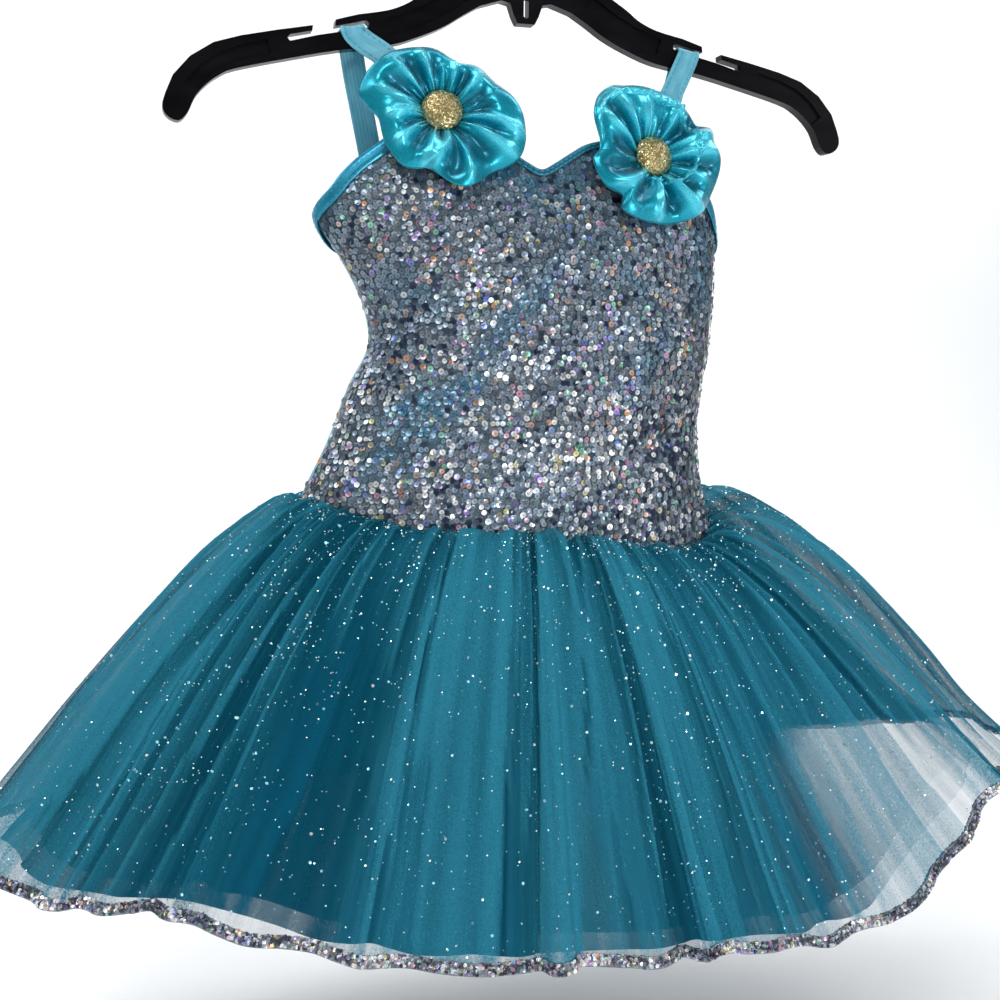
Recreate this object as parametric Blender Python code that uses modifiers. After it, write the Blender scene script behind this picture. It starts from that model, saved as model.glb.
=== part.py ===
"""Child's dance leotard with a tulle skirt, hanging on a notched plastic hanger.

Sizes are in millimetres and become metres where a mesh is made. +Z is up, -Y is the
front, and the origin is where the hanger's hook bears on its rail.
Angles round the body run from 0 at the front centre to +90 at the viewer's right.
"""
import math

import bpy
import bmesh
from mathutils import Vector

MM = 0.001

# Cloth and seams
SEAM_GAP = 0.3
SEAM_RADIUS = 60.0
BINDING_GAP = 0.6
BINDING_MOST_SLANT = 2.2
NECK_BINDING_WIDTH = 3.0
ARMHOLE_BINDING_WIDTH = 6.0
BACK_BINDING_WIDTH = 5.0
BRIEF_DROP = 3.4
SPANDEX = 1.2
SATIN = 1.0
TULLE = 1.0
STRAP_WALL = 1.3
STRAP_WIDTH = 12.0
LEFT_SEAM = -85.0
RIGHT_SEAM = 82.0

# Hanger and hook
HANGER_THICK = 7.0
RECESS_DEPTH = 1.8
TAB_SLOT_WIDTH = 2.6
TAB_SLOT_HEIGHTS = (-88.4, -78.0)
HOOK_WIRE = 2.0
HOOK_INSIDE = 19.0
HOOK_STEM_END = -68.0
HOOK_BORE_SLACK = 0.35

# Skirt
OUTER_FOLDS = 34
INNER_FOLDS = 24
POINTS_PER_FOLD = 4
TRIM_HEIGHT = 5.0

# Horizontal sections of the bodice: height, reach to each side, depth to front and back
BODICE_SECTIONS = (
    # z, left, right, front, back
    (-120, 107, 104, 10, 20),
    (-150, 108, 105, 20, 25),
    (-187, 107, 105, 30, 30),
    (-208, 94, 105, 34, 33),
    (-230, 83, 104, 37, 35),
    (-252, 80, 102, 40, 37),
    (-272, 90, 98, 42, 39),
    (-300, 101, 96, 44, 42),
    (-327, 114, 99, 46, 45),
    (-345, 118, 104, 47, 46),
    (-360, 119, 105, 47, 46),
)

# Sections of the brief under the skirt
BRIEF_SECTIONS = (
    # z, left, right, front, back
    (-328, 111.2, 96.2, 43, 42),
    (-345, 114.6, 99.4, 44, 43),
    (-385, 100, 95, 43, 45),
    (-420, 80, 78, 37, 41),
    (-455, 52, 52, 24, 27),
    (-480, 40, 40, 8, 9),
    (-492, 38, 38, 0.4, 0.4),
)

# Height of the waist seam and of the skirt's hem round the body
WAIST_LINE = (
    # angle, z
    (-180, -338), (-130, -334), (-90, -328), (-70, -329), (-50, -334), (-30, -341),
    (0, -345), (20, -351), (40, -356), (60, -354), (80, -344), (95, -338),
    (130, -337), (180, -338),
)
HEM_LINE = (
    # angle, z
    (-180, -510), (-130, -500), (-90, -489), (-58, -498), (-44, -496), (-30, -510),
    (-15, -523), (0, -528), (11, -531), (26, -536), (33, -535), (40, -523),
    (46, -508), (53, -494), (66, -483), (81, -478), (100, -478), (130, -492),
    (180, -510),
)
HEM_REACH = {"left": 279, "right": 294, "front": 130, "back": 126}
# How far the gathers puff out just under the seam, as a share of the profile's values
PUFF_LINE = (
    # angle, share
    (-180, 0.9), (-120, 0.5), (-85, 0.25), (-45, 0.5), (0, 0.7), (45, 1.0), (80, 2.5),
    (110, 2.6), (145, 1.4), (180, 0.9),
)

# Top edge of the front, seen from the front: left armhole, strap tab, neck dip, tab, armhole
FRONT_TOP = (
    # x, z
    (-104.3, -187), (-101, -178), (-95, -170), (-88, -163), (-80, -157), (-73, -151),
    (-68, -140), (-66.5, -133), (-60.5, -133), (-54.5, -133), (-48, -137), (-38, -144),
    (-26, -151), (-13, -158), (-5, -163), (2, -166), (10, -162), (18, -157),
    (27, -152), (40, -149), (52, -148), (59.5, -147.6), (65.5, -147.6), (71.5, -147.6),
    (74, -153), (80, -158), (88, -164), (95, -171), (101, -180), (103.9, -190),
)

# Top edge of the back, by angle, from the left seam round behind to the right seam
BACK_TOP = (
    # angle, z
    (-85, -187), (-90, -191), (-97, -196), (-106, -200), (-118, -201), (-130, -197),
    (-137, -193), (-141, -193), (-145, -193), (-152, -201), (-165, -212), (-180, -216),
    (-195, -213), (-208, -204), (-215, -197), (-219, -197), (-223, -197), (-230, -201),
    (-243, -205), (-256, -203), (-268, -197), (-278, -190),
)

# Lower edge of each brief panel: share of the way from side to side, height
LEG_LINE = (
    # share, z
    (-1.0, -398), (-0.82, -404), (-0.66, -418), (-0.52, -440), (-0.42, -465),
    (-0.36, -488), (-0.18, -491), (0.0, -491), (0.18, -491), (0.36, -488),
    (0.42, -465), (0.52, -440), (0.66, -418), (0.82, -404), (1.0, -398),
)

# Soft creases of the front: a ridge or trough between two points, its half width and rise
FRONT_CREASES = (
    # x0, z0, x1, z1, half_width, rise
    (-78, -262, 10, -205, 11, 3.0),
    (-76, -246, -20, -200, 8, -2.5),
    (-82, -276, 30, -262, 10, -2.5),
    (-88, -296, 40, -292, 12, 2.8),
    (98, -262, 30, -225, 11, 2.4),
    (97, -286, 25, -318, 11, -2.2),
    (60, -200, 40, -320, 13, 1.8),
)
BACK_CREASES = (
    # x0, z0, x1, z1, half_width, rise
    (-78, -258, 0, -232, 11, 2.6),
    (-80, -276, 25, -285, 11, -2.4),
    (99, -268, 15, -240, 11, 2.4),
    (-95, -315, 10, -308, 12, 2.0),
)

# Profile of the skirt from the waist seam down to the hem
OUTER_PROFILE = (
    # share_out, share_down, out, up, wave
    (0.00, 0.00, 0.2, -0.4, 0.00),
    (0.00, 0.00, 3.0, -0.7, 0.08),
    (0.06, 0.00, 4.0, 2.5, 0.18),
    (0.17, 0.07, 4.0, 3.0, 0.30),
    (0.32, 0.20, 4.5, 2.5, 0.45),
    (0.50, 0.39, 3.5, 1.5, 0.60),
    (0.68, 0.60, 2.0, 0.5, 0.76),
    (0.84, 0.80, 0.0, 0.0, 0.90),
    (1.00, 1.00, 0.0, 0.0, 1.00),
)
INNER_PROFILE = (
    # share_out, share_down, out, up, wave
    (0.00, 0.00, -0.7, -2.0, 0.00),
    (0.06, 0.03, -1.2, -2.2, 0.12),
    (0.24, 0.20, -2.0, -2.0, 0.35),
    (0.47, 0.45, -2.0, 0.0, 0.60),
    (0.74, 0.74, -2.0, 0.0, 0.85),
    (1.00, 1.00, 0.0, 0.0, 1.00),
)
OUTER_WAVE = 4.8
INNER_WAVE = 3.8
OUTER_SHARES = {"side": 1.0, "depth": 1.0, "down": 1.0}
INNER_SHARES = {"side": 0.88, "depth": 0.80, "down": 1.0}

# Straps from the front tab, over the hanger's notch and down to the back tab
LEFT_STRAP = (
    # x, y, z, lean
    (-60.5, -12.3, -132.4, 0), (-62.5, -11.0, -125, 16), (-67.5, -9.6, -117, 36),
    (-75, -7.0, -110.5, 42), (-81.5, -5.4, -106.2, 36), (-86, -4.8, -102.8, 20),
    (-88, -4.9, -100.2, 12), (-88, -4.0, -98.75, 12), (-88, 0, -98.6, 12),
    (-88, 4.0, -98.75, 12), (-88, 4.9, -100.2, 12), (-87.4, 5.0, -106, 14),
    (-85, 6.6, -120, 17), (-80, 10.0, -142, 17), (-74, 16, -168, 11),
    (-69.4, 24.6, -192.4, 0),
)
RIGHT_STRAP = (
    # x, y, z, lean
    (65.5, -15.5, -147.0, 0), (68, -13.2, -139, -12), (73, -11.2, -129, -22),
    (79.5, -7.8, -117.5, -27), (84.5, -5.6, -108.2, -24), (87, -4.8, -103.2, -16),
    (88, -4.9, -100.2, -12), (88, -4.0, -98.75, -12), (88, 0, -98.6, -12),
    (88, 4.0, -98.75, -12), (88, 4.9, -100.2, -12), (87, 5.0, -106, -16),
    (83.5, 7.0, -122, -18), (78, 11.0, -146, -15), (71.5, 17.5, -172, -10),
    (66.2, 25.2, -196.4, 0),
)

# Hanger's edge from the middle of its top, out along one arm and back under it
HANGER_HALF = (
    # x, z
    (12, -58.5), (20, -61), (35, -69.5), (53, -80), (60, -85), (70, -89.3),
    (85, -92.4), (96, -95.6), (96.4, -98.6), (88, -96.7), (81, -95.0), (79.6, -96.4),
    (80.4, -98.3), (96, -101.6), (105, -103.5), (118, -107), (119.4, -105.6),
    (118, -104), (107.4, -101.6), (107, -99), (124, -102.3), (141, -106), (154, -110),
    (165, -117), (173, -126), (178, -138.5), (176.6, -144.5), (171, -147),
    (166.6, -143), (163, -135.5), (158, -129.8), (152, -125.2), (144, -121.5),
    (119, -115.3), (95, -110), (70, -106), (54, -100.5), (42, -95), (33, -89.3),
    (24, -84), (13, -80.5), (8.5, -81.5), (6.6, -87), (4.5, -91),
)
# Sunk panels in each arm: centre line and half height
ARM_RECESSES = (
    (((32, -78), (45, -86.3), (58, -92.8), (72, -97.6)), 4.3),
    (((128, -110.3), (141, -113.6), (150, -117.2), (158, -122.8), (164, -130)), 3.4),
)

# Gathered satin rosettes: outline radius by angle, anticlockwise from the viewer's right
LEFT_ROSETTE_RIM = (
    # angle, radius
    (-180, 36), (-168, 32), (-142, 35), (-123, 37), (-102, 33), (-79, 42), (-55, 39),
    (-32, 44), (-7, 40), (10, 35), (27, 31), (48, 29), (70, 26), (92, 31), (113, 34),
    (140, 37), (169, 41), (180, 36),
)
RIGHT_ROSETTE_RIM = (
    # angle, radius
    (-180, 33), (-172, 37), (-150, 36), (-134, 32), (-128, 38), (-92, 35), (-59, 37),
    (-36, 37), (-3, 37), (12, 35), (25, 37), (34, 31), (65, 36), (86, 34), (109, 38),
    (119, 41), (150, 40), (170, 33), (180, 33),
)
# Rings of a rosette outwards: fixed radius, share of the rest, rise from its seat, ruffle
ROSETTE_RINGS = (
    # radius, share, lift, ruffle
    (5.0, 0.00, 0.0, 0.0),
    (11.8, 0.00, 0.0, 0.0),
    (11.8, 0.22, 5.5, 2.2),
    (11.8, 0.55, 9.5, 4.2),
    (11.8, 0.84, 8.0, 4.4),
    (11.8, 1.00, 4.2, 3.2),
)
ROSETTE_RUFFLES = 12
BUTTON_RADIUS = 10.0
BUTTON_HEIGHT = 6.5
PROUD_OF_PANEL = 3.1

# Colours: red, green, blue, roughness, metallic
FINISHES = {
    "sequin_cloth": (0.46, 0.62, 0.68, 0.35, 0.6),
    "spandex": (0.02, 0.42, 0.50, 0.45, 0.0),
    "satin": (0.03, 0.55, 0.66, 0.30, 0.0),
    "tulle": (0.03, 0.36, 0.46, 0.75, 0.0),
    "strap_satin": (0.20, 0.62, 0.68, 0.40, 0.0),
    "sequin_trim": (0.60, 0.64, 0.70, 0.30, 0.8),
    "gold_glitter": (0.62, 0.45, 0.16, 0.35, 0.8),
    "black_plastic": (0.012, 0.012, 0.014, 0.25, 0.0),
    "steel_wire": (0.60, 0.60, 0.62, 0.25, 1.0),
}


def clear_scene():
    """Remove what an opened file holds."""
    for obj in list(bpy.data.objects):
        bpy.data.objects.remove(obj, do_unlink=True)


def make_material(name):
    """Principled material with the named finish."""
    red, green, blue, roughness, metallic = FINISHES[name]
    material = bpy.data.materials.new(name)
    material.use_nodes = True
    shader = material.node_tree.nodes["Principled BSDF"]
    shader.inputs["Base Color"].default_value = (red, green, blue, 1)
    shader.inputs["Roughness"].default_value = roughness
    shader.inputs["Metallic"].default_value = metallic
    return material


def make_collection(name):
    """New collection under the scene."""
    collection = bpy.data.collections.new(name)
    bpy.context.scene.collection.children.link(collection)
    return collection


clear_scene()
MATERIALS = {name: make_material(name) for name in FINISHES}
PARTS = make_collection("dance_leotard_on_hanger")
CUTTERS = make_collection("cutters")


def smooth_value(rows, at, column=1):
    """Value of a column of a sorted table, on one smooth curve through its rows."""
    ordered = rows if rows[0][0] < rows[-1][0] else tuple(reversed(rows))
    at = min(max(at, ordered[0][0]), ordered[-1][0])
    index = 0
    while index < len(ordered) - 2 and at > ordered[index + 1][0]:
        index += 1
    low, high = ordered[index], ordered[index + 1]
    span = high[0] - low[0]
    step = (high[column] - low[column]) / span

    def slope(place):
        if place == 0 or place == len(ordered) - 1:
            return step
        before, after = ordered[place - 1], ordered[place + 1]
        return (after[column] - before[column]) / (after[0] - before[0])

    part = (at - low[0]) / span
    start, end = slope(index) * span, slope(index + 1) * span
    rise = high[column] - low[column]
    return (low[column] + start * part
            + (3 * rise - 2 * start - end) * part ** 2
            + (start + end - 2 * rise) * part ** 3)


def section_reach(sections, z, angle):
    """Side reach and depth of a section at a height, for the quarter an angle is in."""
    side = 1 if math.sin(math.radians(angle)) < 0 else 2
    face = 3 if math.cos(math.radians(angle)) > 0 else 4
    return smooth_value(sections, z, side), smooth_value(sections, z, face)


def crease_rise(creases, x, z):
    """Height of the creases at a place of a panel, fading to their ends."""
    total = 0.0
    for x0, z0, x1, z1, half_width, rise in creases:
        run_x, run_z = x1 - x0, z1 - z0
        length = math.hypot(run_x, run_z)
        along = ((x - x0) * run_x + (z - z0) * run_z) / length
        across = ((x - x0) * run_z - (z - z0) * run_x) / length
        if 0 < along < length and abs(across) < half_width:
            fade = math.sin(math.pi * along / length)
            total += rise * fade * math.cos(math.pi / 2 * across / half_width) ** 2
    return total


def body_point(sections, z, angle, out=0.0, creases=()):
    """Point of an oval section with its creases, moved out along the surface's normal."""
    side, depth = section_reach(sections, z, angle)
    turn = math.radians(angle)
    x, y = side * math.sin(turn), -depth * math.cos(turn)
    level = Vector((math.sin(turn) / side, -math.cos(turn) / depth)).normalized()
    rise = crease_rise(creases, x, z)
    point = Vector((x + rise * level.x, y + rise * level.y, z))
    if not out:
        return point
    step = 2.0
    above = body_point(sections, z + step, angle, creases=creases)
    below = body_point(sections, z - step, angle, creases=creases)
    before = body_point(sections, z, angle - step, creases=creases)
    after = body_point(sections, z, angle + step, creases=creases)
    normal = (after - before).cross(above - below).normalized()
    return point + normal * out


def front_angle(x, z):
    """Angle at which the front of the bodice has this x at this height."""
    side = smooth_value(BODICE_SECTIONS, z, 1 if x < 0 else 2)
    return math.degrees(math.asin(max(-1.0, min(1.0, x / side))))


def link_mesh(name, mesh, finish, collection=PARTS):
    """Object of a mesh, with its material, in a collection."""
    obj = bpy.data.objects.new(name, mesh)
    mesh.materials.append(MATERIALS[finish])
    collection.objects.link(obj)
    return obj


def cloth_wall(name, rows, finish, thickness, offset, closed=False):
    """Cloth lofted through rows of points, made into a wall by Solidify."""
    builder = bmesh.new()
    grid = [[builder.verts.new(Vector(point) * MM) for point in row] for row in rows]
    columns = len(rows[0])
    last = columns if closed else columns - 1
    for upper, lower in zip(grid, grid[1:]):
        for column in range(last):
            following = (column + 1) % columns
            builder.faces.new((upper[column], lower[column],
                               lower[following], upper[following]))
    mesh = bpy.data.meshes.new(name)
    builder.to_mesh(mesh)
    builder.free()
    mesh.shade_smooth()
    obj = link_mesh(name, mesh, finish)
    wall = obj.modifiers.new("wall", "SOLIDIFY")
    wall.thickness = thickness * MM
    wall.offset = offset
    return obj


def panel_rows(sections, edges, row_count, creases=()):
    """Rows of a panel whose columns run from a top height to a lower one."""
    rows = []
    for row in range(row_count + 1):
        share = row / row_count
        line = []
        for angle, top, bottom in edges:
            z = top + (bottom - top) * share
            line.append(body_point(sections, z, angle, creases=creases))
        rows.append(line)
    return rows


def split_columns(table, most):
    """Table of an edge with further rows where its steps are wider than the most."""
    dense = []
    for low, high in zip(table, table[1:]):
        steps = max(1, math.ceil(abs(high[0] - low[0]) / most))
        for step in range(steps):
            share = step / steps
            dense.append((low[0] + (high[0] - low[0]) * share,
                          low[1] + (high[1] - low[1]) * share))
    dense.append(table[-1])
    return dense


def front_edges():
    """Angle, top and bottom of each column of the bodice's front."""
    seam_share = math.degrees(SEAM_GAP / SEAM_RADIUS)
    edges = []
    for x, z in FRONT_TOP:
        angle = front_angle(x, z)
        angle = min(max(angle, LEFT_SEAM + seam_share), RIGHT_SEAM - seam_share)
        edges.append((angle, z, smooth_value(WAIST_LINE, angle)))
    edges[0] = (LEFT_SEAM + seam_share,) + edges[0][1:]
    edges[-1] = (RIGHT_SEAM - seam_share,) + edges[-1][1:]
    return edges


def wrap_angle(angle):
    """Angle brought into the range of the waist and hem tables."""
    return (angle + 180) % 360 - 180


def back_edges():
    """Angle, top and bottom of each column of the bodice's back."""
    seam_share = math.degrees(SEAM_GAP / SEAM_RADIUS)
    edges = []
    for angle, z in split_columns(BACK_TOP, 13):
        low, high = RIGHT_SEAM - 360 + seam_share, LEFT_SEAM - seam_share
        angle = min(max(angle, low), high)
        edges.append((angle, z, smooth_value(WAIST_LINE, wrap_angle(angle))))
    return edges


def make_bodice():
    """Front and back of the bodice, whose side seams the camera's left shows."""
    front = [(a, top, bottom + SEAM_GAP) for a, top, bottom in front_edges()]
    cloth_wall("bodice_front", panel_rows(BODICE_SECTIONS, front, 11, FRONT_CREASES),
               "sequin_cloth", SPANDEX, 1.0)
    back = [(a, top, bottom + SEAM_GAP) for a, top, bottom in reversed(back_edges())]
    cloth_wall("bodice_back", panel_rows(BODICE_SECTIONS, back, 9, BACK_CREASES),
               "spandex", SPANDEX, 1.0)


def binding_rows(edges, width, creases):
    """Two rows of a binding: along an edge, and its own width in from it."""
    upper, lower = [], []
    out = SPANDEX + BINDING_GAP
    for index, (angle, top, _) in enumerate(edges):
        before, after = edges[max(0, index - 1)], edges[min(len(edges) - 1, index + 1)]
        start = body_point(BODICE_SECTIONS, before[1], before[0])
        end = body_point(BODICE_SECTIONS, after[1], after[0])
        level = math.hypot(end.x - start.x, end.y - start.y)
        steep = math.hypot(level, end.z - start.z) / max(level, 0.1)
        drop = width * min(steep, BINDING_MOST_SLANT)
        upper.append(body_point(BODICE_SECTIONS, top, angle, out, creases))
        lower.append(body_point(BODICE_SECTIONS, top - drop, angle, out, creases))
    return [upper, lower]


def make_bindings():
    """Narrow binding of the neck and wider ones of the armholes and the back."""
    edges = front_edges()
    # Columns of the table at the outer corners of the two strap tabs
    first_tab, second_tab = 7, 23
    stretches = {
        "armhole_binding_l": (edges[:first_tab + 1], ARMHOLE_BINDING_WIDTH),
        "neck_binding": (edges[first_tab + 2:second_tab - 1], NECK_BINDING_WIDTH),
        "armhole_binding_r": (edges[second_tab:], ARMHOLE_BINDING_WIDTH),
    }
    for name, (stretch, width) in stretches.items():
        cloth_wall(name, binding_rows(stretch, width, FRONT_CREASES), "satin", SATIN, 1.0)
    back = list(reversed(back_edges()))
    cloth_wall("back_binding", binding_rows(back, BACK_BINDING_WIDTH, BACK_CREASES),
               "satin", SATIN, 1.0)


def make_brief():
    """Brief of the leotard, whose two panels meet at the sides and the crotch."""
    for name, sign in (("brief_front", 1), ("brief_back", -1)):
        edges = []
        for share, z in split_columns(LEG_LINE, 0.2):
            turn = share * (90 - math.degrees(SEAM_GAP / SEAM_RADIUS))
            angle = turn if sign > 0 else 180 + turn
            waist = smooth_value(WAIST_LINE, wrap_angle(angle)) - BRIEF_DROP
            edges.append((wrap_angle(angle), waist, z))
        cloth_wall(name, panel_rows(BRIEF_SECTIONS, edges, 5), "spandex", SPANDEX, 1.0)


def even_angles(count):
    """Angles of points evenly spaced, but for a slow drift, along the hem's oval."""
    fine = 720
    places, total = [0.0], 0.0
    side = (HEM_REACH["left"] + HEM_REACH["right"]) / 2
    depth = (HEM_REACH["front"] + HEM_REACH["back"]) / 2
    for step in range(fine):
        turn = 2 * math.pi * (step + 0.5) / fine
        total += math.hypot(side * math.cos(turn), depth * math.sin(turn))
        places.append(total)
    angles, step = [], 0
    for index in range(count):
        drift = 0.42 * math.sin(index * 0.83) + 1.1 * math.sin(index * 0.29 + 1.3)
        wanted = total * ((index + drift) / count % 1.0)
        step = 0 if wanted < places[step] else step
        while places[step + 1] < wanted:
            step += 1
        share = (wanted - places[step]) / (places[step + 1] - places[step])
        angles.append(360 * (step + share) / fine)
    return angles


def fold_wave(column, seed):
    """Height of the folds at a column, from -1 to 1, uneven from fold to fold."""
    fold, phase = divmod(column, POINTS_PER_FOLD)
    size = 0.62 + 0.38 * math.sin(fold * 2.3 + seed)
    return size * math.sin(2 * math.pi * phase / POINTS_PER_FOLD + 0.5 * math.sin(fold * 1.1))


def skirt_point(angle, row, wave, shares):
    """Point of the skirt on one row of its profile, at an angle round the body."""
    share_out, share_down, out, up, wave_share = row
    turn = math.radians(angle)
    waist_z = smooth_value(WAIST_LINE, wrap_angle(angle))
    hem_z = smooth_value(HEM_LINE, wrap_angle(angle))
    side, depth = section_reach(BODICE_SECTIONS, waist_z, angle)
    hem_side = HEM_REACH["left" if math.sin(turn) < 0 else "right"]
    hem_depth = HEM_REACH["front" if math.cos(turn) > 0 else "back"]
    x_reach = side + (hem_side - side) * share_out * shares["side"]
    y_reach = depth + (hem_depth - depth) * share_out * shares["depth"]
    normal = Vector((math.sin(turn) / x_reach, -math.cos(turn) / y_reach)).normalized()
    puff = smooth_value(PUFF_LINE, wrap_angle(angle)) if up >= 0 else 1.0
    moved = out * puff + wave * wave_share
    return Vector((x_reach * math.sin(turn) + moved * normal.x,
                   -y_reach * math.cos(turn) + moved * normal.y,
                   waist_z + (hem_z - waist_z) * share_down * shares["down"] + up * puff))


def skirt_rows(profile, folds, wave, seed, shares):
    """Rows of a gathered skirt, from its waist to its hem."""
    angles = even_angles(folds * POINTS_PER_FOLD)
    waves = [wave * fold_wave(column, seed) for column in range(len(angles))]
    return [[skirt_point(angle, row, height, shares)
             for angle, height in zip(angles, waves)] for row in profile]


def make_skirt():
    """Two gathered layers of tulle and the sequin trim on the outer one's hem."""
    rows = skirt_rows(OUTER_PROFILE, OUTER_FOLDS, OUTER_WAVE, 0.7, OUTER_SHARES)
    cloth_wall("skirt_outer", rows, "tulle", TULLE, -1.0, closed=True)
    inner = skirt_rows(INNER_PROFILE, INNER_FOLDS, INNER_WAVE, 2.9, INNER_SHARES)
    cloth_wall("skirt_inner", inner, "tulle", TULLE, -1.0, closed=True)
    hem, above = rows[-1], rows[-2]
    upper, lower = [], []
    for index, (low, high) in enumerate(zip(hem, above)):
        side = hem[(index + 1) % len(hem)] - hem[index - 1]
        rise = (high - low).normalized()
        normal = side.cross(rise).normalized()
        outward = normal if normal.dot(Vector((low.x, low.y, 0))) > 0 else -normal
        lower.append(low + outward * SEAM_GAP)
        upper.append(low + rise * TRIM_HEIGHT + outward * SEAM_GAP)
    cloth_wall("hem_trim", [upper, lower], "sequin_trim", SATIN, 1.0, closed=True)


def make_strap(name, stations):
    """Flat strap through stations that give its centre and the lean of its width."""
    rows = []
    for x, y, z, lean in stations:
        turn = math.radians(lean)
        half = Vector((math.cos(turn), 0, math.sin(turn))) * STRAP_WIDTH / 2
        centre = Vector((x, y, z))
        rows.append([centre - half, centre, centre + half])
    cloth_wall(name, rows, "strap_satin", STRAP_WALL, 0.0)


def seat_frame(x, z):
    """Seat of a rosette on the front, with the panel's right, up and outward axes."""
    step = 4.0

    def on_panel(px, pz):
        return body_point(BODICE_SECTIONS, pz, front_angle(px, pz))

    right = (on_panel(x + step, z) - on_panel(x - step, z)).normalized()
    up = (on_panel(x, z + step) - on_panel(x, z - step)).normalized()
    outward = right.cross(up).normalized()
    if outward.y > 0:
        outward = -outward
    up = outward.cross(right).normalized()
    if up.z < 0:
        up = -up
    return on_panel(x, z) + outward * PROUD_OF_PANEL, right, up, outward


def make_rosette(name, button_name, x, z, rim, phase):
    """Ruffled satin disc with a domed button, square to the bodice where it sits."""
    seat, right, up, outward = seat_frame(x, z)
    columns = ROSETTE_RUFFLES * POINTS_PER_FOLD
    rows = []
    for radius, share, lift, ruffle in ROSETTE_RINGS:
        line = []
        for column in range(columns):
            angle = 360 * column / columns - 180
            reach = radius + (smooth_value(rim, angle) - radius) * share
            fold = column // POINTS_PER_FOLD
            size = 0.7 + 0.3 * math.sin(fold * 2.1 + phase)
            wave = size * math.sin(2 * math.pi * (column % POINTS_PER_FOLD)
                                   / POINTS_PER_FOLD + phase)
            height = lift + ruffle * wave
            turn = math.radians(angle)
            line.append(seat + right * reach * math.cos(turn)
                        + up * reach * math.sin(turn) + outward * height)
        rows.append(line)
    cloth_wall(name, rows, "satin", SATIN, 1.0, closed=True)
    make_button(button_name, seat + outward * (SATIN + SEAM_GAP), right, up, outward)


def make_button(name, back, right, up, outward):
    """Domed button turned about its own axis."""
    steps, turns = 5, 20
    profile = [Vector((0, 0, BUTTON_HEIGHT))]
    for step in range(1, steps + 1):
        turn = math.pi / 2 * step / steps
        profile.append(Vector((BUTTON_RADIUS * math.sin(turn), 0,
                               1.0 + (BUTTON_HEIGHT - 1.0) * math.cos(turn))))
    profile.append(Vector((BUTTON_RADIUS - 0.8, 0, 0)))
    profile.append(Vector((0, 0, 0)))
    mesh = bpy.data.meshes.new(name)
    edges = [(index, index + 1) for index in range(len(profile) - 1)]
    mesh.from_pydata([point * MM for point in profile], edges, [])
    obj = link_mesh(name, mesh, "gold_glitter")
    screw = obj.modifiers.new("turned", "SCREW")
    screw.steps = turns
    screw.render_steps = turns
    screw.use_merge_vertices = True
    screw.merge_threshold = 1e-5
    axes = obj.matrix_world.to_3x3()
    axes.col[0], axes.col[1], axes.col[2] = right, up, outward
    obj.matrix_world = axes.to_4x4()
    obj.location = back * MM


def flat_curve(name, outline, thickness, middle, collection):
    """Filled outline in the X-Z plane, extruded to a thickness about its middle."""
    curve = bpy.data.curves.new(name, "CURVE")
    curve.dimensions = "2D"
    curve.fill_mode = "BOTH"
    curve.extrude = thickness / 2 * MM
    spline = curve.splines.new("POLY")
    spline.points.add(len(outline) - 1)
    for point, (x, z) in zip(spline.points, outline):
        point.co = (x * MM, z * MM, 0, 1)
    spline.use_cyclic_u = True
    obj = bpy.data.objects.new(name, curve)
    obj.rotation_euler = (math.pi / 2, 0, 0)
    obj.location = (0, middle * MM, 0)
    collection.objects.link(obj)
    return obj


def curve_to_mesh(curve_object, finish, collection):
    """Closed mesh object in place of a curve object."""
    name = curve_object.name
    bpy.context.view_layer.update()
    graph = bpy.context.evaluated_depsgraph_get()
    mesh = bpy.data.meshes.new_from_object(curve_object.evaluated_get(graph))
    mesh.transform(curve_object.matrix_world)
    bpy.data.objects.remove(curve_object, do_unlink=True)
    builder = bmesh.new()
    builder.from_mesh(mesh)
    bmesh.ops.remove_doubles(builder, verts=builder.verts, dist=1e-5)
    bmesh.ops.recalc_face_normals(builder, faces=builder.faces)
    builder.to_mesh(mesh)
    builder.free()
    mesh.materials.clear()
    return link_mesh(name, mesh, finish, collection)


def cut(target, cutter):
    """Boolean difference that leaves the cutter hidden."""
    cutter.hide_render = True
    cutter.display_type = "WIRE"
    boolean = target.modifiers.new(cutter.name, "BOOLEAN")
    boolean.operation = "DIFFERENCE"
    boolean.object = cutter


def band_outline(centre, half):
    """Outline of a band of even height along a centre line."""
    upper, lower = [], []
    for index, (x, z) in enumerate(centre):
        before, after = centre[max(0, index - 1)], centre[min(len(centre) - 1, index + 1)]
        run, rise = after[0] - before[0], after[1] - before[1]
        length = math.hypot(run, rise)
        upper.append((x - half * rise / length, z + half * run / length))
        lower.append((x + half * rise / length, z - half * run / length))
    return upper + list(reversed(lower))


def mirrored(outline):
    """The outline on the other side of the middle."""
    return [(-x, z) for x, z in outline]


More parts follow.
